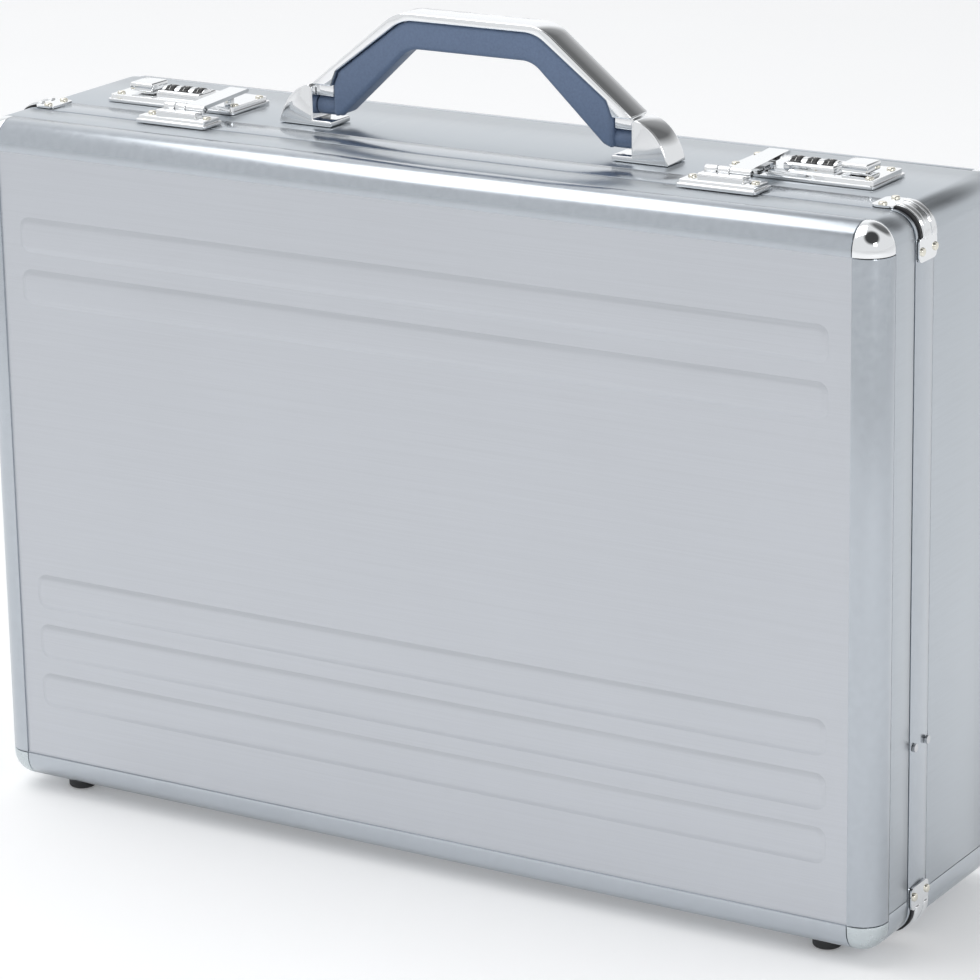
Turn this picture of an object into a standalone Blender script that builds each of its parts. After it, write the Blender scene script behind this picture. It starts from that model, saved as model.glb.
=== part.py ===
"""Aluminium attache case, modelled as an assembly of its separate pieces.

Metres, +Z up. X runs along the case, the lid faces -Y and the case stands on its feet at Z = 0,
hinge side down. The origin is the middle of the footprint. The case is shown closed.
"""

import math

import bmesh
import bpy
from mathutils import Matrix, Vector

MM = 0.001

# Overall shell
CASE_WIDTH = 460.0 * MM
CASE_HEIGHT = 318.0 * MM
CASE_DEPTH = 125.0 * MM
LID_DEPTH = 31.25 * MM
SPLIT_GAP = 1.4 * MM
EDGE_RADIUS = 11.5 * MM
ROUND_STEPS = 4

# Fits and sheet
FIT = 0.3 * MM
SKIN = 1.2 * MM
LIP = 0.5 * MM
EXTRUSION_WALL = 3.0 * MM
EDGE_FLAT = 2.0 * MM
EDGE_FACE = EDGE_RADIUS + EDGE_FLAT
PANEL_UNDERLAP = 1.5 * MM
TONGUE = 4.0 * MM
LOCATING_TONGUE = 3.7 * MM
TONGUE_START = 25.0 * MM
LINING = 1.5 * MM
BOTTOM_SEAM = 16.5 * MM
RIM_BAND = 16.7 * MM

# Pressed ribs on the two big panels
RIB_HALF_LENGTH = 206.0 * MM
RIB_HEIGHT = 16.5 * MM
RIB_PITCH = 24.3 * MM
RIB_SLOPE = 2.0 * MM
RIB_CORNER = 4.5 * MM
TOP_RIB_FROM_TOP = 51.3 * MM
LOW_RIB_FROM_BOTTOM = 47.1 * MM

# Feet
FOOT_HEIGHT = 5.5 * MM
FOOT_RADIUS = 6.5 * MM
FOOT_X = 198.5 * MM
FOOT_FROM_FACE = 18.0 * MM

# Corner clamps on the rim band
CLAMP_REACH = 21.5 * MM
CLAMP_SHEET = 1.0 * MM
CLAMP_BEAD = 1.6 * MM
CLAMP_BEAD_WIDTH = 3.2 * MM
RIVET_RADIUS = 1.9 * MM
RIVET_HEAD = 1.0 * MM
CLAMP_RIVET_REACH = 17.0 * MM
FRONT_RIVET = 3.2 * MM
REAR_RIVET = 15.0 * MM

# Handle
HANDLE_Y = 2.5 * MM
HANDLE_PIVOT_HEIGHT = 9.0 * MM
HANDLE_HALF_SPAN = 81.7 * MM
STRAP_HALF_WIDTH = 7.5 * MM
GRIP_HALF_WIDTH = 6.6 * MM
STRAP_ANKLE_HALF = 5.0 * MM
STRAP_ANKLE_RISE = 10.0 * MM
STRAP_TOP = 55.5 * MM
GRIP_TOP = 51.8 * MM
GRIP_UNDER = 39.2 * MM
FLAT_HALF = 30.0 * MM
HANDLE_FOOT_RADIUS = 4.4 * MM
HANDLE_FOOT_LENGTH = 9.6 * MM
PIVOT_RADIUS = 1.8 * MM
BRACKET_LENGTH = 28.0 * MM
BRACKET_HEIGHT = 19.0 * MM
BRACKET_SOLE = 2.6 * MM

# Locks
LOCK_INNER = 126.5 * MM
LOCK_OUTER = 197.0 * MM
LOCK_FRONT = -4.0 * MM
LOCK_REAR = 27.0 * MM
LOCK_PLATE = 3.2 * MM
HOUSING_INNER = 150.6 * MM
HOUSING_OUTER = 174.4 * MM
HOUSING_FRONT = 4.0 * MM
HOUSING_REAR = 18.0 * MM
HOUSING_TOP = 6.6 * MM
DIAL_CENTRE = 162.0 * MM
DIAL_PITCH = 7.7 * MM
DIAL_WIDTH = 4.2 * MM
DIAL_RADIUS = 5.0 * MM
DIAL_Y = 11.0 * MM
DIAL_SINK = 2.4 * MM
DIAL_AXIS = DIAL_RADIUS - DIAL_SINK
SPINDLE_RADIUS = 0.8 * MM
BUTTON_INNER = 177.3 * MM
BUTTON_LENGTH = 12.6 * MM
BUTTON_WIDTH = 13.0 * MM
BUTTON_HEIGHT = 4.0 * MM
BUTTON_LIFT = 0.8 * MM
BUTTON_TRAVEL = 5.0 * MM
STEM_LENGTH = 4.0 * MM
STEM_WIDTH = 4.0 * MM
LOCK_RIVET_OUTER = 192.5 * MM
LOCK_RIVET_INNER = 129.2 * MM
LOCK_RIVET_ROWS = (1.5 * MM, 21.5 * MM)

# Hasps and flaps
HASP_X = 139.2 * MM
HASP_HALF = 19.0 * MM
HASP_FRONT = -35.5 * MM
HASP_REAR = -20.8 * MM
HASP_TIER = 1.6 * MM
HASP_STEP = 1.2 * MM
CLIP_SHEET = 0.8 * MM
CLIP_TAB = 10.0 * MM
BARREL_Y = -21.2 * MM
BARREL_HEIGHT = 5.8 * MM
BARREL_RADIUS = 2.0 * MM
BARREL_START = -12.0 * MM
BARREL_SPLIT = -6.0 * MM
FLAP_OFFSET = 5.15 * MM
FLAP_WIDTH = 9.7 * MM
FLAP_LENGTH = 34.7 * MM
FLAP_SHEET = 1.7 * MM
FLAP_RISE = 1.5 * MM
HOOK_WIDTH = 4.0 * MM
HOOK_Y = 4.2 * MM
HOOK_THICKNESS = 2.4 * MM

# Hinge under the case
HINGE_HALF = 184.0 * MM
HINGE_KNUCKLES = 11
HINGE_RADIUS = 2.0 * MM
HINGE_DROP = 2.3 * MM
HINGE_LEAF = 0.8 * MM
HINGE_LEAF_WIDTH = 13.0 * MM
PIN_RADIUS = 0.9 * MM

# Lid stays
STAY_HEIGHT = 85.0 * MM
STAY_OFFSET = 9.25 * MM
STAY_SHEET = 1.2 * MM
STAY_HALF_WIDTH = 4.5 * MM
STAY_PIN_RADIUS = 1.5 * MM
STAY_GAP = 0.3 * MM
MOUNT_SHEET = 1.0 * MM
MOUNT_HEIGHT = 12.0 * MM

# Document pocket in the lid
POCKET_HALF = 196.0 * MM
POCKET_LOW = 40.0 * MM
POCKET_HIGH = 235.0 * MM
POCKET_THICKNESS = 2.5 * MM

# Derived places
HALF_X = CASE_WIDTH / 2
HALF_Y = CASE_DEPTH / 2
LOW_Z = FOOT_HEIGHT
HIGH_Z = FOOT_HEIGHT + CASE_HEIGHT
SPLIT_Y = -HALF_Y + LID_DEPTH
LID_REAR = SPLIT_Y - SPLIT_GAP / 2
BODY_FRONT = SPLIT_Y + SPLIT_GAP / 2
BAND_REAR = BODY_FRONT + RIM_BAND
PANEL_INSET = LIP + FIT
TONGUE_INSET = SKIN + FIT
LINING_INSET = EXTRUSION_WALL + FIT
LINING_FACE = LINING_INSET + LINING
OVER = 5.0 * MM
HINGE_Z = LOW_Z - HINGE_DROP
PIVOT_Z = HIGH_Z + HANDLE_PIVOT_HEIGHT
BARREL_Z = HIGH_Z + BARREL_HEIGHT

# Finishes: base colour, roughness, metallic
FINISHES = {
    "brushed_aluminium": ((0.66, 0.69, 0.72), 0.35, 1.0),
    "satin_extrusion": ((0.72, 0.74, 0.77), 0.28, 1.0),
    "chrome": ((0.82, 0.83, 0.84), 0.08, 1.0),
    "slate_grip": ((0.10, 0.14, 0.22), 0.55, 0.0),
    "black_plastic": ((0.02, 0.02, 0.02), 0.35, 0.0),
    "black_rubber": ((0.02, 0.02, 0.02), 0.8, 0.0),
    "grey_lining": ((0.12, 0.12, 0.13), 0.9, 0.0),
    "steel": ((0.6, 0.6, 0.62), 0.3, 1.0),
}

SIDES = {"left": -1, "right": 1}
LEVELS = {"bottom": -1, "top": 1}


def clear_scene():
    for item in list(bpy.data.objects):
        bpy.data.objects.remove(item, do_unlink=True)


def make_collection(name):
    collection = bpy.data.collections.new(name)
    bpy.context.scene.collection.children.link(collection)
    return collection


def make_finish(name):
    colour, roughness, metallic = FINISHES[name]
    finish = bpy.data.materials.new(name)
    finish.use_nodes = True
    shader = finish.node_tree.nodes["Principled BSDF"]
    shader.inputs["Base Color"].default_value = (*colour, 1.0)
    shader.inputs["Roughness"].default_value = roughness
    shader.inputs["Metallic"].default_value = metallic
    return finish


clear_scene()
PARTS = make_collection("attache_case")
CUTTERS = make_collection("cutters")
MATERIALS = {name: make_finish(name) for name in FINISHES}


# ---- building blocks -------------------------------------------------------------------------


def add_object(name, mesh, finish=None):
    """Link a mesh as a part with its finish, or as a hidden cutter when it has none."""
    item = bpy.data.objects.new(name, mesh)
    if finish is None:
        CUTTERS.objects.link(item)
        item.hide_render = True
        item.display_type = "WIRE"
    else:
        PARTS.objects.link(item)
        mesh.materials.append(MATERIALS[finish])
    return item


def mesh_from(name, build):
    mesh = bpy.data.meshes.new(name)
    work = bmesh.new()
    build(work)
    work.to_mesh(mesh)
    work.free()
    return mesh


def box(name, low, high, finish=None, bevel=0.0, steps=1):
    """A block between two corners, placed by its location, with optional rounded edges."""
    low, high = Vector(map(min, low, high)), Vector(map(max, low, high))
    size = high - low

    def build(work):
        bmesh.ops.create_cube(work, size=1.0, matrix=Matrix.Diagonal((*size, 1.0)))
        if bevel:
            bmesh.ops.bevel(work, geom=work.edges[:], offset=bevel, segments=steps, profile=0.5,
                            affect="EDGES")

    item = add_object(name, mesh_from(name, build), finish)
    item.location = (low + high) / 2
    return item


def rod(name, centre, radius, length, finish=None, sides=20, axis="X", tip_radius=None):
    """A cylinder, or a cone when the far end has its own radius, along one axis."""
    turn = {"X": Matrix.Rotation(math.pi / 2, 4, "Y"), "Y": Matrix.Rotation(-math.pi / 2, 4, "X"),
            "Z": Matrix.Identity(4)}[axis]
    far = radius if tip_radius is None else tip_radius

    def build(work):
        bmesh.ops.create_cone(work, cap_ends=True, segments=sides, radius1=radius, radius2=far,
                              depth=length, matrix=turn)

    mesh = mesh_from(name, build)
    mesh.shade_smooth()
    mesh.set_sharp_from_angle(angle=math.radians(40))
    item = add_object(name, mesh, finish)
    item.location = centre
    return item


def plate(name, outline, thickness, centre, facing, finish=None):
    """A flat outline given thickness. It is drawn as (x, z) when it faces Y, as (y, z) facing X."""
    curve = bpy.data.curves.new(name, "CURVE")
    curve.dimensions = "2D"
    curve.fill_mode = "BOTH"
    curve.extrude = thickness / 2
    spline = curve.splines.new("POLY")
    spline.points.add(len(outline) - 1)
    for point, (across, up) in zip(spline.points, outline):
        point.co = (across, up, 0.0, 1.0)
    spline.use_cyclic_u = True
    drawn = bpy.data.objects.new(name + "_outline", curve)
    bpy.context.scene.collection.objects.link(drawn)
    bpy.context.view_layer.update()
    graph = bpy.context.evaluated_depsgraph_get()
    mesh = bpy.data.meshes.new_from_object(drawn.evaluated_get(graph))
    bpy.data.objects.remove(drawn, do_unlink=True)
    work = bmesh.new()
    work.from_mesh(mesh)
    bmesh.ops.remove_doubles(work, verts=work.verts[:], dist=0.001 * MM)
    bmesh.ops.recalc_face_normals(work, faces=work.faces[:])
    work.to_mesh(mesh)
    work.free()
    mesh.name = name
    item = add_object(name, mesh, finish)
    if facing == "Y":
        item.rotation_euler = (math.pi / 2, 0.0, 0.0)
    else:
        item.rotation_euler = (math.pi / 2, 0.0, math.pi / 2)
    item.location = centre
    return item


def boolean(item, other, operation):
    change = item.modifiers.new(f"{operation.lower()}_{other.name}", "BOOLEAN")
    change.operation = operation
    change.object = other
    change.solver = "EXACT"
    return item


def cut(item, *others):
    for other in others:
        boolean(item, other, "DIFFERENCE")
    return item


def join(item, *others):
    for other in others:
        boolean(item, other, "UNION")
    return item


ENVELOPES = {}


def envelope(inset):
    """The whole case as one rounded block, drawn in by an inset (or out by a negative one)."""
    key = round(inset / MM, 3)
    if key not in ENVELOPES:
        radius = EDGE_RADIUS - inset
        size = (CASE_WIDTH - 2 * inset, CASE_DEPTH - 2 * inset, CASE_HEIGHT - 2 * inset)

        def build(work):
            bmesh.ops.create_cube(work, size=1.0, matrix=Matrix.Diagonal((*size, 1.0)))
            bmesh.ops.bevel(work, geom=work.edges[:], offset=radius, segments=ROUND_STEPS,
                            profile=0.5, affect="EDGES")

        item = add_object(f"envelope_{key}", mesh_from("envelope", build))
        item.location = (0.0, 0.0, (LOW_Z + HIGH_Z) / 2)
        ENVELOPES[key] = item
    return ENVELOPES[key]


def shell(name, low, high, outer, inner, finish=None):
    """The wall of the case between two insets, inside the box between two corners."""
    item = box(name, low, high, finish)
    boolean(item, envelope(outer), "INTERSECT")
    return cut(item, envelope(inner))


def outside_of(name, start, end, inset):
    """Everything outside an inset between two depths: what a sheet laid over a tongue takes up."""
    low = (-HALF_X - 2 * OVER, start, LOW_Z - 2 * OVER)
    high = (HALF_X + 2 * OVER, end, HIGH_Z + 2 * OVER)
    return cut(box(name, low, high), envelope(inset))


def mirrored(side, *values):
    return tuple(side * value for value in values)


# ---- edge extrusions, corner caps and panels --------------------------------------------------


def panel_corners(grow=0.0):
    reach = EDGE_FACE - PANEL_UNDERLAP - grow
    return (-HALF_X + reach, LOW_Z + reach), (HALF_X - reach, HIGH_Z - reach)


def panel_groove(name, face):
    """The slot in the edge extrusions that holds the sheet of a big panel. face is -1 or +1."""
    (left, low), (right, high) = panel_corners(FIT)
    outer = face * (HALF_Y - LIP)
    inner = face * (HALF_Y - LIP - 2 * FIT - SKIN)
    return box(name, (left, outer, low), (right, inner, high))


def edge_set(prefix, face, relief, groove):
    """Four edge extrusions and four corner caps round one big face of the case."""
    outer = face * (HALF_Y + OVER)
    back = face * (HALF_Y - EDGE_FACE - TONGUE)
    cap_back = face * (HALF_Y - EDGE_FACE + FIT / 2)
    reach_x = HALF_X - EDGE_FACE - FIT / 2
    low_end, high_end = LOW_Z + EDGE_FACE + FIT / 2, HIGH_Z - EDGE_FACE - FIT / 2
    for level, up in LEVELS.items():
        edge = LOW_Z if up < 0 else HIGH_Z
        low = (-reach_x, outer, edge - up * EDGE_FACE)
        high = (reach_x, back, edge + up * OVER)
        piece = shell(f"{prefix}_edge_{level}", low, high, 0.0, EXTRUSION_WALL, "satin_extrusion")
        cut(piece, relief, groove)
    for side, across in SIDES.items():
        low = (across * (HALF_X - EDGE_FACE), outer, low_end)
        high = (across * (HALF_X + OVER), back, high_end)
        piece = shell(f"{prefix}_edge_{side}", low, high, 0.0, EXTRUSION_WALL, "satin_extrusion")
        cut(piece, relief, groove)
    for level, up in LEVELS.items():
        for side, across in SIDES.items():
            middle_z = (LOW_Z + HIGH_Z) / 2
            inner_z = middle_z + up * (CASE_HEIGHT / 2 - EDGE_FACE + FIT / 2)
            low = (across * (HALF_X - EDGE_FACE + FIT / 2), outer, inner_z)
            high = (across * (HALF_X + OVER), cap_back, middle_z + up * (CASE_HEIGHT / 2 + OVER))
            piece = shell(f"{prefix}_cap_{level}_{side}", low, high, 0.0, EXTRUSION_WALL, "chrome")
            cut(piece, groove)


def rib(name, face, height):
    """One pressed rib: a long low pillow with rounded ends that stands up to the edge lips."""
    rise = PANEL_INSET + SKIN / 2

    def build(work):
        size = (2 * RIB_HALF_LENGTH, rise, RIB_HEIGHT)
        bmesh.ops.create_cube(work, size=1.0, matrix=Matrix.Diagonal((*size, 1.0)))
        upright = [e for e in work.edges if abs(e.verts[0].co.y - e.verts[1].co.y) > rise / 2]
        bmesh.ops.bevel(work, geom=upright, offset=RIB_CORNER, segments=3, profile=0.5, affect="EDGES")
        for vertex in work.verts:
            if vertex.co.y * face > 0:
                vertex.co.x -= math.copysign(RIB_SLOPE, vertex.co.x)
                vertex.co.z -= math.copysign(RIB_SLOPE, vertex.co.z)

    item = add_object(name, mesh_from(name, build))
    item.location = (0.0, face * (HALF_Y - rise / 2), height)
    return item


def rib_heights():
    top = [HIGH_Z - TOP_RIB_FROM_TOP - step * RIB_PITCH for step in range(2)]
    low = [LOW_Z + LOW_RIB_FROM_BOTTOM + step * RIB_PITCH for step in range(3)]
    return top + low


def big_panel(name, face):
    (left, low), (right, high) = panel_corners()
    outer = face * (HALF_Y - PANEL_INSET)
    inner = face * (HALF_Y - PANEL_INSET - SKIN)
    panel = box(name, (left, outer, low), (right, inner, high), "brushed_aluminium")
    for number, height in enumerate(rib_heights()):
        join(panel, rib(f"{name}_rib_{number}", face, height))
    return panel


def wrap_sheets(prefix, start, end):
    """The sheet round the top and sides, and the channel that closes the bottom."""
    seam = LOW_Z + BOTTOM_SEAM
    low_x, high_x = -HALF_X - OVER, HALF_X + OVER
    wrap = shell(f"{prefix}_wrap", (low_x, start, seam + FIT / 2), (high_x, end, HIGH_Z + OVER),
                 0.0, SKIN, "brushed_aluminium")
    bottom = shell(f"{prefix}_bottom", (low_x, start, LOW_Z - OVER), (high_x, end, seam - FIT / 2),
                   0.0, SKIN, "brushed_aluminium")
    return wrap, bottom


def lining_tray(name, start, end):
    low = (-HALF_X, start, LOW_Z)
    high = (HALF_X, end, HIGH_Z)
    return shell(name, low, high, LINING_INSET, LINING_FACE, "grey_lining")


def rim_band():
    """The stiff band round the mouth of the body, with a tongue that guides the closing lid."""
    low = (-HALF_X - OVER, BODY_FRONT - LOCATING_TONGUE, LOW_Z - OVER)
    high = (HALF_X + OVER, BAND_REAR + TONGUE, HIGH_Z + OVER)
    band = shell("rim_band", low, high, 0.0, EXTRUSION_WALL, "satin_extrusion")
    cut(band, outside_of("lid_over_tongue", BODY_FRONT - LOCATING_TONGUE - OVER, BODY_FRONT, TONGUE_INSET))
    cut(band, outside_of("sheet_over_band", BAND_REAR, BAND_REAR + TONGUE + OVER, TONGUE_INSET))
    cut(band, box("tongue_clear_of_hinge", (-HALF_X - OVER, BODY_FRONT - LOCATING_TONGUE - OVER, LOW_Z - OVER),
                  (HALF_X + OVER, BODY_FRONT, LOW_Z + TONGUE_START)))
    for side, across in SIDES.items():
        notch_half = HASP_HALF + 2 * FIT
        low = (across * HASP_X - notch_half, BODY_FRONT - LOCATING_TONGUE - OVER, HIGH_Z - 2 * EXTRUSION_WALL)
        high = (across * HASP_X + notch_half, BODY_FRONT, HIGH_Z + OVER)
        cut(band, box(f"hasp_notch_{side}", low, high))
    return band


# ---- corner clamps, feet ------------------------------------------------------------------------


def rim_clamp(level, side):
    """A pressed strip round a corner of the rim band, with two beads and four set rivets."""
    up, across = LEVELS[level], SIDES[side]
    name = f"rim_clamp_{level}_{side}"
    edge_z = LOW_Z if up < 0 else HIGH_Z
    outer_x, outer_z = across * (HALF_X + OVER), edge_z + up * OVER
    front, rear = BODY_FRONT + FIT, BAND_REAR
    bend = EDGE_RADIUS + 2 * FIT
    clamp = shell(name, (across * (HALF_X - bend), front + 3.2 * MM, edge_z - up * bend),
                  (outer_x, rear, outer_z), -FIT - CLAMP_SHEET, -FIT, "chrome")
    pad_inner, pad_outer = FIT, FIT + CLAMP_SHEET
    overlap = 1.0 * MM
    top_pad = box(f"{name}_pad_a", (across * (HALF_X - CLAMP_REACH), front, edge_z + up * pad_inner),
                  (across * (HALF_X - bend + overlap), rear, edge_z + up * pad_outer))
    side_pad = box(f"{name}_pad_b", (across * (HALF_X + pad_inner), front, edge_z - up * CLAMP_REACH),
                   (across * (HALF_X + pad_outer), rear, edge_z - up * (bend - overlap)))
    join(clamp, top_pad, side_pad)
    for number, start in enumerate((front + 4.2 * MM, rear - 4.6 * MM)):
        bead = shell(f"{name}_bead_{number}", (across * (HALF_X - bend), start, edge_z - up * bend),
                     (outer_x, start + CLAMP_BEAD_WIDTH, outer_z), -FIT - CLAMP_BEAD, -FIT - CLAMP_SHEET / 2)
        join(clamp, bead)
    for number, row in enumerate((FRONT_RIVET, REAR_RIVET)):
        head = RIVET_HEAD + CLAMP_SHEET / 2
        out = FIT + CLAMP_SHEET / 2 + head / 2
        spot = SPLIT_Y + row + SPLIT_GAP / 2
        join(clamp, rod(f"{name}_rivet_{number}", (across * (HALF_X - CLAMP_RIVET_REACH), spot, edge_z + up * out),
                        RIVET_RADIUS, head, sides=12, axis="Z"))
        join(clamp, rod(f"{name}_rivet_{number + 2}", (across * (HALF_X + out), spot, edge_z - up * CLAMP_RIVET_REACH),
                        RIVET_RADIUS, head, sides=12, axis="X"))
    return clamp


def foot(name, across, depth):
    height = FOOT_HEIGHT - FIT
    return rod(name, (across * FOOT_X, depth, height / 2), FOOT_RADIUS - 0.7 * MM, height, "black_rubber",
               sides=24, axis="Z", tip_radius=FOOT_RADIUS)


# ---- handle ---------------------------------------------------------------------------------------


def both_ways(points):
    """A closed outline from its right half, listed from the middle of the top round to below."""
    return [(-x, z) for x, z in reversed(points)] + list(points)


def arc(centre, radius, start, end, steps):
    """Points on an arc, angles in degrees."""
    angles = [math.radians(start + (end - start) * step / steps) for step in range(steps + 1)]
    return [(centre[0] + radius * math.cos(a), centre[1] + radius * math.sin(a)) for a in angles]


def handle_slope():
    """Outer shoulder and outer foot of the strap, and the inner shoulder and foot of the grip."""
    shoulder = (FLAT_HALF + 7.0 * MM, STRAP_TOP)
    foot_end = (HANDLE_HALF_SPAN, HANDLE_PIVOT_HEIGHT + 11.0 * MM)
    grip_shoulder = (FLAT_HALF + 4.0 * MM, GRIP_TOP)
    grip_foot = (HANDLE_HALF_SPAN - 12.7 * MM, HANDLE_PIVOT_HEIGHT + 17.0 * MM)
    return shoulder, foot_end, grip_shoulder, grip_foot


def handle_strap():
    shoulder, foot_end, grip_shoulder, grip_foot = handle_slope()
    step = HANDLE_PIVOT_HEIGHT + HANDLE_FOOT_RADIUS + FIT
    ankle = HANDLE_HALF_SPAN - HANDLE_FOOT_LENGTH
    outer = both_ways([shoulder, foot_end, (HANDLE_HALF_SPAN, step)])
    inner_half = [(grip_shoulder[0], grip_shoulder[1] + FIT), (grip_foot[0] + FIT, grip_foot[1]),
                  (ankle, HANDLE_PIVOT_HEIGHT + 10.5 * MM), (ankle, step)]
    inner = both_ways(inner_half)
    outline = outer + list(reversed(inner))
    strap = plate("handle_strap", outline, 2 * STRAP_HALF_WIDTH, (0.0, HANDLE_Y, HIGH_Z), "Y", "chrome")
    high = PIVOT_Z + STRAP_ANKLE_RISE
    for name, facing in (("front", -1), ("rear", 1)):
        near, far = HANDLE_Y + facing * STRAP_ANKLE_HALF, HANDLE_Y + facing * (STRAP_HALF_WIDTH + OVER)
        cut(strap, box(f"strap_ankle_{name}", (-HANDLE_HALF_SPAN - OVER, near, HIGH_Z),
                       (HANDLE_HALF_SPAN + OVER, far, high)))
    return strap


def handle_grip():
    _, _, grip_shoulder, grip_foot = handle_slope()
    ankle = HANDLE_HALF_SPAN - HANDLE_FOOT_LENGTH - FIT
    low = HANDLE_PIVOT_HEIGHT - HANDLE_FOOT_RADIUS
    half = [grip_shoulder, grip_foot, (ankle, HANDLE_PIVOT_HEIGHT + 10.5 * MM), (ankle, low)]
    under = [(ankle - 5.0 * MM, low + 2.0 * MM), (FLAT_HALF + 1.5 * MM, GRIP_UNDER)]
    outline = both_ways(half + under)
    grip = plate("handle_grip", outline, 2 * GRIP_HALF_WIDTH, (0.0, HANDLE_Y, HIGH_Z), "Y", "slate_grip")
    for side, across in SIDES.items():
        start = HANDLE_HALF_SPAN - HANDLE_FOOT_LENGTH - 2 * MM
        end = HANDLE_HALF_SPAN
        toe = rod(f"grip_toe_{side}", (across * (start + end) / 2, HANDLE_Y, PIVOT_Z), HANDLE_FOOT_RADIUS,
                  end - start, sides=16)
        join(grip, toe)
        depth = HANDLE_FOOT_LENGTH - FIT
        bore = rod(f"grip_bore_{side}", (across * (end - depth / 2 + OVER / 2), HANDLE_Y, PIVOT_Z),
                   PIVOT_RADIUS + FIT, depth + OVER, sides=16)
        cut(grip, bore)
    return grip


def handle_bracket(side):
    across = SIDES[side]
    start = HANDLE_HALF_SPAN + FIT
    toe = start - HANDLE_FOOT_LENGTH - FIT
    heel = toe + BRACKET_LENGTH
    crown = (start + 2.0 * MM, BRACKET_HEIGHT)
    middle = ((crown[0] + heel) / 2 + 1.4 * MM, BRACKET_HEIGHT / 2 + 1.6 * MM)
    outline = [(toe, FIT), (heel, FIT), (heel - 0.4 * MM, FIT + 1.5 * MM), middle, crown,
               (start, BRACKET_HEIGHT - 1.2 * MM), (start, BRACKET_SOLE + FIT), (toe, BRACKET_SOLE + FIT)]
    outline = [(across * x, z) for x, z in outline]
    bracket = plate(f"handle_bracket_{side}", outline, 2 * STRAP_HALF_WIDTH + 1 * MM,
                    (0.0, HANDLE_Y, HIGH_Z), "Y", "chrome")
    reach = HANDLE_FOOT_LENGTH - 2 * MM
    pin = rod(f"pivot_pin_{side}", (across * (start - reach / 2 + 1 * MM), HANDLE_Y, PIVOT_Z), PIVOT_RADIUS,
              reach + 2 * MM, sides=16)
    return join(bracket, pin)


# ---- locks ------------------------------------------------------------------------------------------


def dial_places(side):
    return [SIDES[side] * (DIAL_CENTRE + step * DIAL_PITCH) for step in (-1, 0, 1)]


def flap_range(side):
    middle = SIDES[side] * HASP_X + FLAP_OFFSET
    return middle - FLAP_WIDTH / 2, middle + FLAP_WIDTH / 2


def lock_base(side):
    """The riveted plate on the body: dial housing, spindle, hook channel and button slot."""
    across = SIDES[side]
    inner, outer = mirrored(across, LOCK_INNER, LOCK_OUTER)
    plate_top = HIGH_Z + FIT + LOCK_PLATE
    base = box(f"lock_base_{side}", (inner, LOCK_FRONT, HIGH_Z + FIT), (outer, LOCK_REAR, plate_top),
               "chrome", bevel=0.8 * MM)
    start, end = mirrored(across, HOUSING_INNER, HOUSING_OUTER)
    housing = box(f"dial_housing_{side}", (start, HOUSING_FRONT, plate_top - 1 * MM),
                  (end, HOUSING_REAR, HIGH_Z + HOUSING_TOP))
    join(base, housing)
    for number, spot in enumerate(dial_places(side)):
        half = DIAL_WIDTH / 2 + FIT
        room = DIAL_RADIUS + FIT + 0.1 * MM
        cut(base, box(f"dial_slot_{side}_{number}", (spot - half, DIAL_Y - room, HIGH_Z - OVER),
                      (spot + half, DIAL_Y + room, HIGH_Z + HOUSING_TOP + OVER)))
    length = HOUSING_OUTER - HOUSING_INNER - 2 * MM
    middle = across * (HOUSING_INNER + HOUSING_OUTER) / 2
    join(base, rod(f"spindle_{side}", (middle, DIAL_Y, HIGH_Z + DIAL_AXIS), SPINDLE_RADIUS, length, sides=12))
    flap_middle = across * HASP_X + FLAP_OFFSET
    channel = HOOK_WIDTH / 2 + 2 * FIT
    cut(base, box(f"hook_channel_{side}", (flap_middle - channel, LOCK_FRONT - OVER, HIGH_Z + 1.3 * MM),
                  (flap_middle + channel, HOOK_Y + HOOK_THICKNESS, plate_top + OVER)))
    stem = BUTTON_INNER + 2.5 * MM
    slot_in, slot_out = mirrored(across, stem - FIT, stem + STEM_LENGTH + BUTTON_TRAVEL + FIT)
    cut(base, box(f"button_slot_{side}", (slot_in, DIAL_Y - STEM_WIDTH / 2 - FIT, HIGH_Z + 1.0 * MM),
                  (slot_out, DIAL_Y + STEM_WIDTH / 2 + FIT, plate_top + OVER)))
    for row_number, row in enumerate(LOCK_RIVET_ROWS):
        for end_name, reach in (("inner", LOCK_RIVET_INNER), ("outer", LOCK_RIVET_OUTER)):
            middle_z = plate_top - 0.5 * MM + RIVET_HEAD / 2
            join(base, rod(f"lock_rivet_{side}_{end_name}_{row_number}", (across * reach, row, middle_z),
                           RIVET_RADIUS, RIVET_HEAD + 1.0 * MM, sides=12, axis="Z"))
    return base


def lock_window(side):
    """The opening in the top sheet under the dials."""
    across = SIDES[side]
    start, end = mirrored(across, DIAL_CENTRE - DIAL_PITCH - DIAL_WIDTH, DIAL_CENTRE + DIAL_PITCH + DIAL_WIDTH)
    room = DIAL_RADIUS + 2 * FIT
    return box(f"lock_window_{side}", (start, DIAL_Y - room, HIGH_Z - SKIN - OVER),
               (end, DIAL_Y + room, HIGH_Z + OVER))


def number_dial(side, number, spot):
    centre = (spot, DIAL_Y, HIGH_Z + DIAL_AXIS)
    dial = rod(f"dial_{side}_{number + 1}", centre, DIAL_RADIUS, DIAL_WIDTH, "black_plastic", sides=30)
    bore = rod(f"dial_bore_{side}_{number}", centre, SPINDLE_RADIUS + FIT, DIAL_WIDTH + OVER, sides=12)
    return cut(dial, bore)


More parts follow.
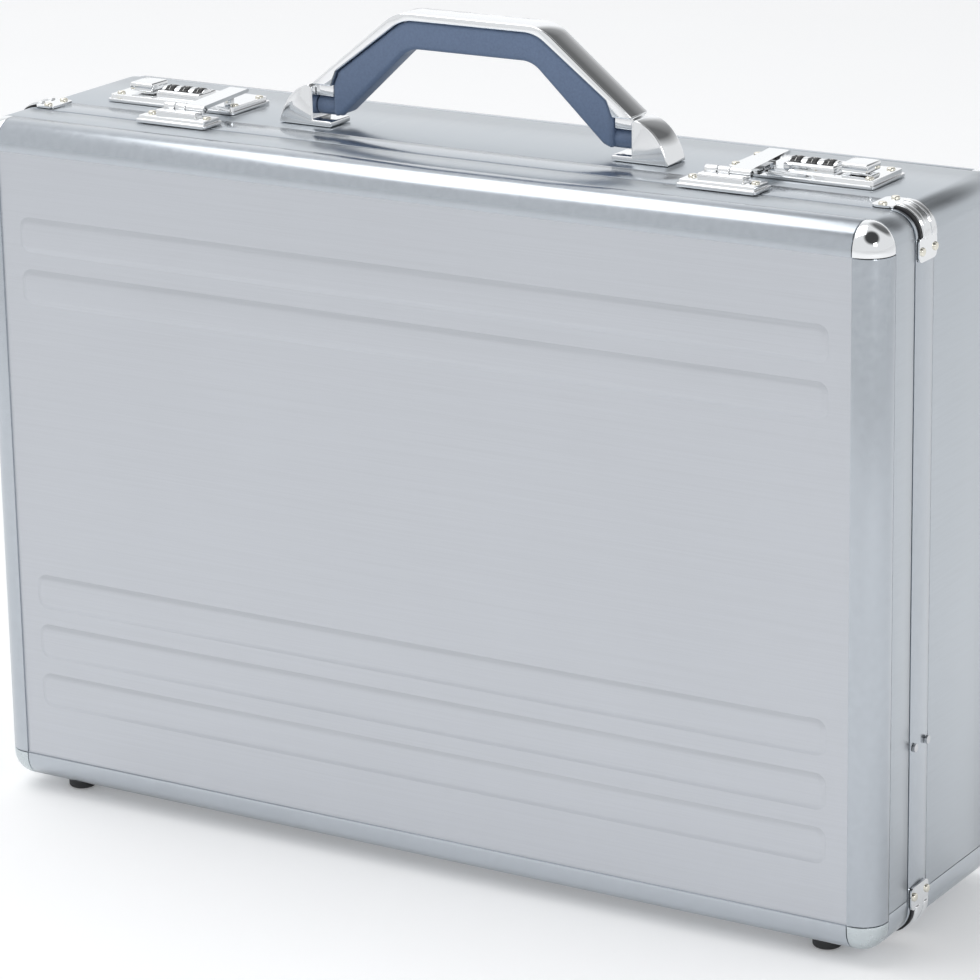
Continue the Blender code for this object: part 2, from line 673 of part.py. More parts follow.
def release_button(side):
    across = SIDES[side]
    low = HIGH_Z + FIT + LOCK_PLATE + BUTTON_LIFT
    start, end = mirrored(across, BUTTON_INNER, BUTTON_INNER + BUTTON_LENGTH)
    button = box(f"release_button_{side}", (start, DIAL_Y - BUTTON_WIDTH / 2, low),
                 (end, DIAL_Y + BUTTON_WIDTH / 2, low + BUTTON_HEIGHT), "chrome", bevel=0.7 * MM)
    stem = BUTTON_INNER + 2.5 * MM
    start, end = mirrored(across, stem, stem + STEM_LENGTH)
    return join(button, box(f"button_stem_{side}", (start, DIAL_Y - STEM_WIDTH / 2, HIGH_Z + 1.3 * MM),
                            (end, DIAL_Y + STEM_WIDTH / 2, low + 1 * MM)))


def hasp(side):
    """The stepped plate clipped to the lid's edge, with its barrel and staked pin."""
    across = SIDES[side]
    centre = across * HASP_X
    clip_front, clip_rear = LID_REAR + FIT, LID_REAR + FIT + CLIP_SHEET
    tab_top = HIGH_Z - SKIN - FIT
    low = HIGH_Z + FIT
    top = FIT + 2 * HASP_TIER
    item = box(f"hasp_{side}", (centre - HASP_HALF, HASP_FRONT, low),
               (centre + HASP_HALF, HASP_REAR, low + HASP_TIER), "chrome")
    half = HASP_HALF - HASP_STEP
    join(item, box(f"hasp_tier_{side}", (centre - half, HASP_FRONT + HASP_STEP, low + HASP_TIER / 2),
                   (centre + half, HASP_REAR - HASP_STEP, HIGH_Z + top)))
    join(item, box(f"hasp_clip_{side}", (centre - half, clip_front, tab_top - CLIP_SHEET),
                   (centre + half, clip_rear, low + HASP_TIER / 2)))
    half -= 0.5 * MM
    join(item, box(f"hasp_tab_{side}", (centre - half, clip_front - CLIP_TAB, tab_top - CLIP_SHEET + 0.1 * MM),
                   (centre + half, clip_rear - CLIP_SHEET / 2, tab_top)))
    free = BARREL_Y - BARREL_RADIUS - 2 * FIT
    flap_start, flap_end = flap_range(side)
    overlap = 0.5 * MM
    block_low = HIGH_Z + top - overlap
    block = box(f"hasp_block_{side}", (centre + BARREL_START, free - 5.5 * MM, block_low),
                (flap_end, free, BARREL_Z - 0.2 * MM))
    join(item, block)
    spans = ((centre + BARREL_START, centre + BARREL_SPLIT), (centre + BARREL_SPLIT + FIT, flap_start - FIT))
    for number, (start, end) in enumerate(spans):
        inset = 0.2 * MM
        join(item, box(f"hasp_web_{side}_{number}", (start + inset, free - overlap, block_low + 0.1 * MM),
                       (end - inset, BARREL_Y, BARREL_Z - 0.4 * MM)))
        join(item, rod(f"hasp_knuckle_{side}_{number}", ((start + end) / 2, BARREL_Y, BARREL_Z), BARREL_RADIUS,
                       end - start, sides=16))
    pin_start = centre + BARREL_START + 1 * MM
    join(item, rod(f"hasp_pin_{side}", ((pin_start + flap_end) / 2, BARREL_Y, BARREL_Z), PIN_RADIUS,
                   flap_end - pin_start, sides=12))
    for number, reach in enumerate((-1, 1)):
        join(item, rod(f"hasp_rivet_{side}_{number}", (centre + reach * 15.0 * MM, -27.5 * MM, HIGH_Z + top),
                       RIVET_RADIUS, 2 * RIVET_HEAD, sides=12, axis="Z"))
    return item


def flap(side):
    """The hinged flap that lies back over the lock base, with its hook."""
    start, end = flap_range(side)
    middle = (start + end) / 2
    top = BARREL_HEIGHT + BARREL_RADIUS
    tip = BARREL_Y + FLAP_LENGTH
    outline = [(BARREL_Y, top - FLAP_SHEET), (tip - 0.8 * MM, top - FLAP_SHEET + FLAP_RISE),
               (tip, top + FLAP_RISE - 0.8 * MM), (tip - 1.0 * MM, top + FLAP_RISE), (BARREL_Y, top)]
    item = plate(f"latch_flap_{side}", outline, FLAP_WIDTH, (middle, 0.0, HIGH_Z), "X", "chrome")
    join(item, rod(f"flap_knuckle_{side}", (middle, BARREL_Y, BARREL_Z), BARREL_RADIUS, FLAP_WIDTH, sides=16))
    join(item, box(f"flap_hook_{side}", (middle - HOOK_WIDTH / 2, HOOK_Y - HOOK_THICKNESS / 2, HIGH_Z + 1.8 * MM),
                   (middle + HOOK_WIDTH / 2, HOOK_Y + HOOK_THICKNESS / 2, BARREL_Z + BARREL_RADIUS - 0.2 * MM)))
    return cut(item, rod(f"flap_bore_{side}", (middle, BARREL_Y, BARREL_Z), PIN_RADIUS + FIT,
                         FLAP_WIDTH + OVER, sides=12))


# ---- hinge and lid stays ----------------------------------------------------------------------------


def hinge_comb(name, keep_even):
    """Blocks that clear the other leaf's knuckles."""
    pitch = 2 * HINGE_HALF / HINGE_KNUCKLES
    room = HINGE_RADIUS + FIT

    def build(work):
        for number in range(HINGE_KNUCKLES):
            if (number % 2 == 0) == keep_even:
                continue
            middle = -HINGE_HALF + (number + 0.5) * pitch
            size = (pitch + FIT, 2 * room, 2 * room)
            place = Matrix.Translation((middle, 0.0, 0.0)) @ Matrix.Diagonal((*size, 1.0))
            bmesh.ops.create_cube(work, size=1.0, matrix=place)

    item = add_object(name, mesh_from(name, build))
    item.location = (0.0, SPLIT_Y, HINGE_Z)
    return item


def hinge_leaf(name, toward, keep_even):
    """toward is +1 for the leaf under the body and -1 for the leaf under the lid."""
    top = LOW_Z - FIT
    low = (-HINGE_HALF, SPLIT_Y, top - HINGE_LEAF)
    high = (HINGE_HALF, SPLIT_Y + toward * HINGE_LEAF_WIDTH, top)
    leaf = box(name, low, high, "steel")
    barrel = rod(f"{name}_barrel", (0.0, SPLIT_Y, HINGE_Z), HINGE_RADIUS, 2 * HINGE_HALF - FIT, sides=12)
    join(leaf, barrel)
    return cut(leaf, hinge_comb(f"{name}_comb", keep_even))


def stay_layers(across):
    """The X places of the mount, the body link and the lid link, from the lining inwards."""
    face = HALF_X - LINING_FACE
    mount = face - FIT - MOUNT_SHEET / 2
    body_link = mount - MOUNT_SHEET / 2 - STAY_GAP - STAY_SHEET / 2
    lid_link = body_link - STAY_SHEET - STAY_GAP
    return across * mount, across * body_link, across * lid_link


def stay_points():
    """Pivot on the body, pivot on the lid and elbow, as (y, z). The two links and the two lines
    from the hinge to the pivots make a parallelogram, so the links turn exactly with the lid."""
    body = (SPLIT_Y + STAY_OFFSET, LOW_Z + STAY_HEIGHT)
    lid = (SPLIT_Y - STAY_OFFSET, LOW_Z + STAY_HEIGHT)
    elbow = (SPLIT_Y, body[1] + lid[1] - HINGE_Z)
    return body, lid, elbow


def stay_link(name, layer, start, end, bore_at, finish="steel"):
    """A flat link with round ends between two (y, z) points."""
    run = Vector((end[0] - start[0], end[1] - start[1]))
    heading = math.degrees(math.atan2(run.y, run.x))
    outline = arc(start, STAY_HALF_WIDTH, heading + 90, heading + 270, 6)
    outline += arc(end, STAY_HALF_WIDTH, heading - 90, heading + 90, 6)
    link = plate(name, outline, STAY_SHEET, (layer, 0.0, 0.0), "X", finish)
    for number, (depth, height) in enumerate(bore_at):
        cut(link, rod(f"{name}_bore_{number}", (layer, depth, height), STAY_PIN_RADIUS + 1.5 * FIT,
                      STAY_SHEET + OVER, sides=14))
    return link


def stay_mount(side):
    """A plate on the lining, held by two rivets through the rim band, with the pivot stud."""
    across = SIDES[side]
    mount_x, body_x, _ = stay_layers(across)
    (depth, height), _, _ = stay_points()
    rows = [SPLIT_Y + SPLIT_GAP / 2 + row for row in (FRONT_RIVET, REAR_RIVET)]
    half = across * MOUNT_SHEET / 2
    margin = 3.0 * MM
    item = box(f"stay_mount_{side}", (mount_x - half, rows[0] - margin + 1 * MM, height - MOUNT_HEIGHT / 2),
               (mount_x + half, rows[1] + margin, height + MOUNT_HEIGHT / 2), "steel")
    stud_end = body_x - across * (STAY_SHEET / 2 + FIT / 2)
    join(item, rod(f"mount_stud_{side}", ((mount_x + stud_end) / 2, depth, height), STAY_PIN_RADIUS,
                   abs(mount_x - stud_end), sides=14))
    for number, row in enumerate(rows):
        shank_end = across * (HALF_X + FIT + RIVET_HEAD / 2)
        join(item, rod(f"mount_shank_{side}_{number}", ((mount_x + shank_end) / 2, row, height),
                       1.2 * MM, abs(shank_end - mount_x), sides=12))
        join(item, rod(f"mount_rivet_{side}_{number}", (across * (HALF_X + FIT + RIVET_HEAD / 2), row, height),
                       RIVET_RADIUS, RIVET_HEAD, sides=12))
    return item


def shank_holes(side, inner, outer, name):
    across = SIDES[side]
    (_, height), _, _ = stay_points()
    middle = across * (inner + outer) / 2
    holes = []
    for number, row in enumerate((FRONT_RIVET, REAR_RIVET)):
        spot = SPLIT_Y + SPLIT_GAP / 2 + row
        holes.append(rod(f"{name}_{side}_{number}", (middle, spot, height), 1.2 * MM + FIT, outer - inner, sides=12))
    return holes


# ---- assembly -----------------------------------------------------------------------------------------


def axis_empty(name, place):
    item = bpy.data.objects.new(name, None)
    item.empty_display_size = 0.01
    item.location = place
    PARTS.objects.link(item)
    return item


def hang(parent, *items):
    """Parent pieces to the empty on their joint's axis, where they already stand."""
    for item in items:
        item.parent = parent
        item.matrix_parent_inverse = Matrix.Translation(-parent.location)


def build_body():
    relief = outside_of("sheet_over_rear_tongue", HALF_Y - EDGE_FACE - TONGUE - OVER, HALF_Y - EDGE_FACE,
                        TONGUE_INSET)
    edge_set("rear", 1, relief, panel_groove("rear_groove", 1))
    big_panel("back_panel", 1)
    wrap, _ = wrap_sheets("body", BAND_REAR + FIT / 2, HALF_Y - EDGE_FACE - FIT / 2)
    band = rim_band()
    tray = lining_tray("body_lining", BODY_FRONT + FIT, HALF_Y + OVER)
    for side, across in SIDES.items():
        cut(wrap, lock_window(side))
        cut(band, *shank_holes(side, HALF_X - LINING_INSET, HALF_X + OVER, "band_hole"))
        cut(tray, *shank_holes(side, HALF_X - LINING_FACE - OVER, HALF_X - EXTRUSION_WALL, "tray_hole"))
        handle_bracket(side)
        lock_base(side)
        stay_mount(side)
        foot(f"rear_foot_{side}", across, HALF_Y - FOOT_FROM_FACE)
        for level in LEVELS:
            rim_clamp(level, side)
    leaf = hinge_leaf("hinge_leaf_body", 1, True)
    pin_length = 2 * HINGE_HALF - 2 * MM
    join(leaf, rod("hinge_pin", (0.0, SPLIT_Y, HINGE_Z), PIN_RADIUS, pin_length, sides=12))


def build_handle():
    axis = axis_empty("handle_axis", (0.0, HANDLE_Y, PIVOT_Z))
    hang(axis, handle_strap(), handle_grip())


def build_lock_movers(lid_axis):
    for side, across in SIDES.items():
        for number, spot in enumerate(dial_places(side)):
            number_dial(side, number, spot)
        release_button(side)
        flap_axis = axis_empty(f"flap_axis_{side}", (across * HASP_X, BARREL_Y, BARREL_Z))
        hang(flap_axis, flap(side))
        hang(lid_axis, flap_axis)


def build_lid():
    relief = outside_of("sheet_over_front_tongue", -HALF_Y + EDGE_FACE, -HALF_Y + EDGE_FACE + TONGUE + OVER,
                        TONGUE_INSET)
    edge_set("front", -1, relief, panel_groove("front_groove", -1))
    big_panel("front_panel", -1)
    wrap, _ = wrap_sheets("lid", -HALF_Y + EDGE_FACE + FIT / 2, LID_REAR)
    tray = lining_tray("lid_lining", -HALF_Y - OVER, LID_REAR - FIT)
    _, (depth, height), _ = stay_points()
    for side, across in SIDES.items():
        _, _, lid_x = stay_layers(across)
        stud_end = lid_x - across * (STAY_SHEET / 2 + FIT / 2)
        wall = across * (HALF_X - SKIN / 2)
        join(wrap, rod(f"lid_stud_{side}", ((wall + stud_end) / 2, depth, height), STAY_PIN_RADIUS,
                       abs(wall - stud_end), sides=14))
        cut(tray, rod(f"lid_stud_hole_{side}", (across * (HALF_X - LINING_INSET - LINING / 2), depth, height),
                      STAY_PIN_RADIUS + FIT, LINING + 1 * MM, sides=14))
        hasp(side)
        foot(f"front_foot_{side}", across, -HALF_Y + FOOT_FROM_FACE)
    face = -HALF_Y + LINING_FACE + FIT
    box("document_pocket", (-POCKET_HALF, face, LOW_Z + POCKET_LOW),
        (POCKET_HALF, face + POCKET_THICKNESS, LOW_Z + POCKET_HIGH), "grey_lining", bevel=0.8 * MM)
    leaf = hinge_leaf("hinge_leaf_lid", -1, False)
    cut(leaf, rod("hinge_bore", (0.0, SPLIT_Y, HINGE_Z), PIN_RADIUS + FIT, 2 * HINGE_HALF + OVER, sides=12))


def build_stays(lid_axis):
    body, lid, elbow = stay_points()
    for side, across in SIDES.items():
        _, body_x, lid_x = stay_layers(across)
        body_link = stay_link(f"stay_body_link_{side}", body_x, body, elbow, [body])
        stud_end = lid_x - across * (STAY_SHEET / 2 + FIT / 2)
        join(body_link, rod(f"elbow_pin_{side}", ((body_x + stud_end) / 2, *elbow), STAY_PIN_RADIUS,
                            abs(body_x - stud_end), sides=14))
        lid_link = stay_link(f"stay_lid_link_{side}", lid_x, lid, elbow, [lid, elbow])
        body_axis = axis_empty(f"stay_body_axis_{side}", (body_x, *body))
        link_axis = axis_empty(f"stay_lid_axis_{side}", (lid_x, *lid))
        hang(body_axis, body_link)
        hang(link_axis, lid_link)
        hang(lid_axis, link_axis)


LID_PIECES = ("front_", "lid_", "hasp_", "document_", "hinge_leaf_lid")


def hang_lid(lid_axis):
    for item in list(PARTS.objects):
        if item.type == "MESH" and item.name.startswith(LID_PIECES):
            hang(lid_axis, item)


def build():
    lid_axis = axis_empty("hinge_axis", (0.0, SPLIT_Y, HINGE_Z))
    build_body()
    build_handle()
    build_lid()
    hang_lid(lid_axis)
    build_lock_movers(lid_axis)
    build_stays(lid_axis)


build()
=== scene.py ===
# %% [markdown]
# # An aluminium attache case
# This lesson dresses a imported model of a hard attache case: a shallow lid hinged along the bottom,
# a deeper body, a folding handle and two combination latches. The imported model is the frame. It
# holds every piece at its true size and place, but with coarse, flat faces, so most pieces are
# modelled again here with fine round edges, and take their sizes from the frame.

# %% Load the frame
import math

import bpy
from mathutils import Matrix, Vector


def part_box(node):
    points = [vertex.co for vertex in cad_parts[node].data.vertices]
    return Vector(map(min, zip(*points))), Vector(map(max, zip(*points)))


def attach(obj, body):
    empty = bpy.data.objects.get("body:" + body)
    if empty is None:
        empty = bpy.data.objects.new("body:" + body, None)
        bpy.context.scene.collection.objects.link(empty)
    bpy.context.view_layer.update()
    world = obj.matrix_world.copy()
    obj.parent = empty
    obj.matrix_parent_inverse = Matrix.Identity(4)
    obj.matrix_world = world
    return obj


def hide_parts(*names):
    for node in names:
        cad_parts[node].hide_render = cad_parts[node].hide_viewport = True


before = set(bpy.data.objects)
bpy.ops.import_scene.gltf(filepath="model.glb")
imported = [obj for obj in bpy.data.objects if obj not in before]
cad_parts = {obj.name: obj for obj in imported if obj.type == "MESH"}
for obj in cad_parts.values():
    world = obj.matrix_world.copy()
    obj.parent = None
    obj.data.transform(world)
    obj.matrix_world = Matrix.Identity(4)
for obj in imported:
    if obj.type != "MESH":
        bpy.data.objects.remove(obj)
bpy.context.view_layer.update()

MM = 0.001

# %% [markdown]
# ## The case's own measures
# A few numbers drive everything: the outer faces of the shell, the radius that rounds it, and how
# deep each skin lies. The outer faces are read from the frame's nodes, so a new pack moves every
# piece along; the radius and the depths are given here.

# %% Measures
band_low, band_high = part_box("rim_band")
HALF_X, LOW_Z, HIGH_Z = band_high.x, band_low.z, band_high.z
FRONT_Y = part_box("front_edge_top")[0].y
BACK_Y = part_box("rear_edge_top")[1].y
ROUND = 11.5 * MM
EXTRUSION = 3.0 * MM
SKIN = 1.2 * MM
EDGE_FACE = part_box("front_edge_top")[1].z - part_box("front_edge_top")[0].z
GUIDE_TONGUE = 3.7 * MM
REAR_TONGUE = 4.0 * MM
BAND_FRONT = band_low.y + GUIDE_TONGUE
BAND_REAR = band_high.y - REAR_TONGUE
SIDES = {"left": -1, "right": 1}
LEVELS = {"bottom": -1, "top": 1}
HOOK_FRONT, HOOK_BACK, HOOK_HALF = 3.0 * MM, 5.4 * MM, 2.0 * MM
CHANNEL_HALF = HOOK_HALF + 0.6 * MM
LOCK_RIVET_X, LOCK_RIVET_Y = (129.2, 192.5), (1.5, 21.5)
FIGURE_SIZE, FIGURE_RELIEF, FIGURE_SINK = 2.9 * MM, 0.04 * MM, 0.02 * MM
STEM_START, STEM_END = 179.8 * MM, 183.8 * MM
FLOOR_SIZE, FLOOR_DROP, FLOOR_GLOW = 14.0, 0.0004, 0.16
print("shell:", [round(v / MM, 2) for v in (2 * HALF_X, BACK_Y - FRONT_Y, HIGH_Z - LOW_Z)], "mm")

# %% [markdown]
# ## The camera
# A long lens from the front right, a little above the lid. It comes first, because the view
# decides how fine each piece has to be.

# %% Camera
CAMERA_PLACE = Vector((0.984, -1.584, 0.7375))
CAMERA_YAW, CAMERA_PITCH, CAMERA_ROLL = math.radians(31.73), math.radians(17.11), math.radians(1.02)
camera_data = bpy.data.cameras.new("camera")
camera_data.sensor_width = 36.0
camera_data.lens = 159.2
camera_data.clip_start, camera_data.clip_end = 0.05, 60.0
camera = bpy.data.objects.new("camera", camera_data)
bpy.context.scene.collection.objects.link(camera)
level = math.cos(CAMERA_PITCH)
look = Vector((-math.sin(CAMERA_YAW) * level, math.cos(CAMERA_YAW) * level, -math.sin(CAMERA_PITCH)))
camera.rotation_mode = "QUATERNION"
upright = look.to_track_quat("-Z", "Y")
camera.rotation_quaternion = (Matrix.Rotation(CAMERA_ROLL, 3, look) @ upright.to_matrix()).to_quaternion()
camera.location = CAMERA_PLACE
bpy.context.scene.camera = camera
bpy.context.scene.view_settings.view_transform = "Standard"
print("camera at", tuple(round(v, 3) for v in camera.location))

# %% [markdown]
# ## Hands
# These helpers do what a modeller's hands do: pick one object, add a primitive at its place, bevel
# chosen edges, cut one shape with another. An operator works on whatever is selected, so each
# helper clears the selection first.


# %% Picking and primitives
def deselect():
    bpy.ops.object.select_all(action="DESELECT")


def pick(item):
    deselect()
    item.select_set(True)
    bpy.context.view_layer.objects.active = item
    return item


def settle(item):
    """Move an object's place, turn and scale into its mesh."""
    pick(item)
    bpy.ops.object.transform_apply(location=True, rotation=True, scale=True)
    return item


def block(name, low, high):
    """A box between two corners."""
    low, high = Vector(map(min, low, high)), Vector(map(max, low, high))
    deselect()
    bpy.ops.mesh.primitive_cube_add(size=1.0, location=(low + high) / 2)
    item = bpy.context.active_object
    item.name = name
    item.scale = high - low
    return settle(item)


AXIS_TURN = {"X": (0.0, math.pi / 2, 0.0), "Y": (math.pi / 2, 0.0, 0.0), "Z": (0.0, 0.0, 0.0)}


def rod(name, centre, radius, length, axis="X", sides=40):
    """A round bar along one axis."""
    deselect()
    bpy.ops.mesh.primitive_cylinder_add(vertices=sides, radius=radius, depth=length, location=centre,
                                        rotation=AXIS_TURN[axis])
    item = bpy.context.active_object
    item.name = name
    return settle(item)


print("primitives ready")


# %% Editing helpers
def edit_selected(item, edges=None, faces=None):
    """Open edit mode with the edges or faces chosen by a test on their ends or on the face."""
    pick(item)
    bpy.ops.object.mode_set(mode="EDIT")
    bpy.ops.mesh.select_mode(type="EDGE" if edges else "FACE")
    bpy.ops.mesh.select_all(action="DESELECT")
    bpy.ops.object.mode_set(mode="OBJECT")
    mesh = item.data
    if edges:
        for edge in mesh.edges:
            ends = [mesh.vertices[index].co for index in edge.vertices]
            edge.select = bool(edges(ends[0], ends[1]))
    else:
        for face in mesh.polygons:
            face.select = bool(faces(face))
    bpy.ops.object.mode_set(mode="EDIT")


def bevel(item, width, segments=3, edges=lambda a, b: True):
    """Round the chosen edges, or all of them."""
    edit_selected(item, edges=edges)
    bpy.ops.mesh.bevel(offset=width, segments=segments, profile=0.5, affect="EDGES")
    bpy.ops.object.mode_set(mode="OBJECT")
    return item


def soften(item, width=0.25 * MM, segments=2, angle=38):
    """Break every sharp edge, as a file or a tumbler does."""
    modifier = item.modifiers.new("soften", "BEVEL")
    modifier.width = width
    modifier.segments = segments
    modifier.limit_method = "ANGLE"
    modifier.angle_limit = math.radians(angle)
    modifier.use_clamp_overlap = True
    pick(item)
    bpy.ops.object.modifier_apply(modifier="soften")
    return item


def combine(item, other, operation, keep=False):
    """Cut, join or intersect with another shape, which is used up unless it is kept."""
    modifier = item.modifiers.new("combine", "BOOLEAN")
    modifier.operation = operation
    modifier.object = other
    modifier.solver = "EXACT"
    pick(item)
    bpy.ops.object.modifier_apply(modifier="combine")
    if not keep:
        bpy.data.objects.remove(other, do_unlink=True)
    return item


def cut(item, *others):
    for other in others:
        combine(item, other, "DIFFERENCE")
    return item


def join(item, *others):
    for other in others:
        combine(item, other, "UNION")
    return item


def gather(item, *others):
    """Put several closed shapes into one object without cutting them."""
    pick(item)
    for other in others:
        other.select_set(True)
    bpy.ops.object.join()
    return item


def copy_of(item, name):
    twin = item.copy()
    twin.data = item.data.copy()
    twin.name = name
    bpy.context.scene.collection.objects.link(twin)
    return twin


def flipped(item, name, across=1, up=1, centre_z=0.0):
    """A mirrored copy, with its faces turned the right way out again."""
    twin = copy_of(item, name)
    twin.location.z = centre_z * (1 - up)
    twin.scale = (across, 1.0, up)
    settle(twin)
    if across * up < 0:
        edit_selected(twin, faces=lambda face: True)
        bpy.ops.mesh.flip_normals()
        bpy.ops.object.mode_set(mode="OBJECT")
    return twin


print("editing helpers ready")

# %% [markdown]
# ## Flat outlines
# The handle, its brackets and the flaps are flat shapes seen from one side. A filled 2D curve
# gives such a shape its thickness, and each bend is an arc between two straight runs.


# %% Outlines with round bends
def bend_arc(before, corner, after, radius, steps=8):
    """Points of the arc that rounds one corner of an outline."""
    into, out = (corner - before).normalized(), (after - corner).normalized()
    turn = into.angle(out)
    if radius == 0 or turn < 0.01:
        return [corner]
    run = radius * math.tan(turn / 2)
    start, end = corner - into * run, corner + out * run
    inward = (out - into).normalized()
    centre = corner + inward * (radius / math.cos(turn / 2))
    first, last = (start - centre).normalized(), (end - centre).normalized()
    return [centre + first.slerp(last, step / steps) * radius for step in range(steps + 1)]


def rounded(outline):
    """An outline of (across, up, radius) points, with its corners replaced by arcs."""
    corners = [Vector((across, up)) for across, up, _ in outline]
    points = []
    for index, (_, _, radius) in enumerate(outline):
        before, after = corners[index - 1], corners[(index + 1) % len(corners)]
        points += bend_arc(before, corners[index], after, radius)
    return points


def plate(name, points, thickness, centre, facing="Y"):
    """A closed outline as a plate. It is drawn as (x, z) facing Y, or as (y, z) facing X."""
    curve = bpy.data.curves.new(name, "CURVE")
    curve.dimensions = "2D"
    curve.fill_mode = "BOTH"
    curve.extrude = thickness / 2
    spline = curve.splines.new("POLY")
    spline.points.add(len(points) - 1)
    for point, place in zip(spline.points, points):
        point.co = (place[0], place[1], 0.0, 1.0)
    spline.use_cyclic_u = True
    item = bpy.data.objects.new(name, curve)
    bpy.context.scene.collection.objects.link(item)
    pick(item)
    bpy.ops.object.convert(target="MESH")
    item.rotation_euler = (math.pi / 2, 0.0, 0.0 if facing == "Y" else math.pi / 2)
    item.location = centre
    settle(item)
    edit_selected(item, faces=lambda face: True)
    bpy.ops.mesh.remove_doubles(threshold=0.001 * MM)
    bpy.ops.mesh.dissolve_limited(angle_limit=math.radians(0.5))
    bpy.ops.mesh.normals_make_consistent(inside=False)
    bpy.ops.object.mode_set(mode="OBJECT")
    return item


print("outline helpers ready")

# %% [markdown]
# ## Finishes
# Every finish is a Principled shader fed by noise on Object coordinates. Brushed sheet is noise
# stretched a hundred times along the grain: it moves the roughness, the colour and a tiny bump
# together, as real scratches do. A slow, large noise on top gives the faint clouds of handling.


# %% Finish helpers
def new_finish(name, colour, metallic, roughness, **sockets):
    finish = bpy.data.materials.new(name)
    finish.use_nodes = True
    shader = finish.node_tree.nodes["Principled BSDF"]
    shader.inputs["Base Color"].default_value = (*colour, 1.0)
    shader.inputs["Metallic"].default_value = metallic
    shader.inputs["Roughness"].default_value = roughness
    for socket, value in sockets.items():
        shader.inputs[socket.replace("_", " ")].default_value = value
    return finish, finish.node_tree, shader


def grain(tree, scale, detail=3.0, roughness=0.6):
    """Noise on the piece's own coordinates, stretched by one scale for each axis."""
    place = tree.nodes.new("ShaderNodeTexCoord")
    mapping = tree.nodes.new("ShaderNodeMapping")
    mapping.inputs["Scale"].default_value = scale
    noise = tree.nodes.new("ShaderNodeTexNoise")
    noise.inputs["Scale"].default_value = 1.0
    noise.inputs["Detail"].default_value = detail
    noise.inputs["Roughness"].default_value = roughness
    tree.links.new(place.outputs["Object"], mapping.inputs["Vector"])
    tree.links.new(mapping.outputs["Vector"], noise.inputs["Vector"])
    return noise.outputs["Fac"]


def spread(tree, value, low, high, start=0.3, end=0.7):
    """Stretch a noise between two numbers."""
    node = tree.nodes.new("ShaderNodeMapRange")
    node.inputs["From Min"].default_value = start
    node.inputs["From Max"].default_value = end
    node.inputs["To Min"].default_value = low
    node.inputs["To Max"].default_value = high
    tree.links.new(value, node.inputs["Value"])
    return node.outputs["Result"]


def blend_colours(tree, value, first, second, start=0.3, end=0.7):
    ramp = tree.nodes.new("ShaderNodeValToRGB")
    ramp.color_ramp.elements[0].position = start
    ramp.color_ramp.elements[0].color = (*first, 1.0)
    ramp.color_ramp.elements[1].position = end
    ramp.color_ramp.elements[1].color = (*second, 1.0)
    tree.links.new(value, ramp.inputs["Fac"])
    return ramp.outputs["Color"]


def relief(tree, shader, height, strength, distance):
    bump = tree.nodes.new("ShaderNodeBump")
    bump.inputs["Strength"].default_value = strength
    bump.inputs["Distance"].default_value = distance
    tree.links.new(height, bump.inputs["Height"])
    tree.links.new(bump.outputs["Normal"], shader.inputs["Normal"])


def sum_of(tree, first, second, share=0.5):
    node = tree.nodes.new("ShaderNodeMath")
    node.operation = "MULTIPLY_ADD"
    node.inputs[1].default_value = share
    tree.links.new(second, node.inputs[0])
    tree.links.new(first, node.inputs[2])
    return node.outputs[0]


print("finish helpers ready")


# %% Metal finishes
def brushed_metal(name, colour, low_rough, high_rough, scale, depth=0.02):
    """Sheet brushed along the axis that has the small scale."""
    finish, tree, shader = new_finish(name, colour, 1.0, 0.4)
    fine = grain(tree, scale, detail=4.0)
    clouds = grain(tree, (9.0, 9.0, 9.0), detail=2.0)
    both = sum_of(tree, fine, clouds, 0.6)
    tree.links.new(spread(tree, both, low_rough, high_rough, 0.45, 1.15), shader.inputs["Roughness"])
    darker = tuple(0.93 * c for c in colour)
    tree.links.new(blend_colours(tree, both, darker, colour, 0.55, 1.0), shader.inputs["Base Color"])
    relief(tree, shader, fine, 0.35, depth * MM)
    return finish


PANEL_FINISH = brushed_metal("brushed_panel", (0.565, 0.585, 0.62), 0.30, 0.46, (14.0, 1500.0, 1500.0), 0.03)
WRAP_FINISH = brushed_metal("brushed_wrap", (0.53, 0.565, 0.60), 0.26, 0.40, (700.0, 30.0, 700.0), 0.015)
EDGE_FINISH = brushed_metal("anodised_extrusion", (0.50, 0.535, 0.575), 0.17, 0.27,
                            (260.0, 260.0, 260.0), 0.004)
SATIN_CAP = brushed_metal("satin_cap", (0.60, 0.65, 0.67), 0.20, 0.32, (400.0, 400.0, 400.0), 0.004)


def polished_metal(name, colour, roughness=0.05):
    """Plating: almost a mirror, with faint smears and the slight orange peel under chrome."""
    finish, tree, shader = new_finish(name, colour, 1.0, roughness)
    smears = grain(tree, (60.0, 60.0, 60.0), detail=3.0)
    tree.links.new(spread(tree, smears, roughness, roughness + 0.09), shader.inputs["Roughness"])
    peel = grain(tree, (420.0, 420.0, 420.0), detail=1.0)
    relief(tree, shader, peel, 0.12, 0.01 * MM)
    return finish


CHROME = polished_metal("chrome", (0.86, 0.87, 0.88), 0.04)
NICKEL = polished_metal("warm_nickel", (0.80, 0.77, 0.68), 0.12)
STEEL = brushed_metal("zinc_steel", (0.62, 0.63, 0.65), 0.25, 0.42, (500.0, 500.0, 500.0), 0.01)
print("metal finishes ready")


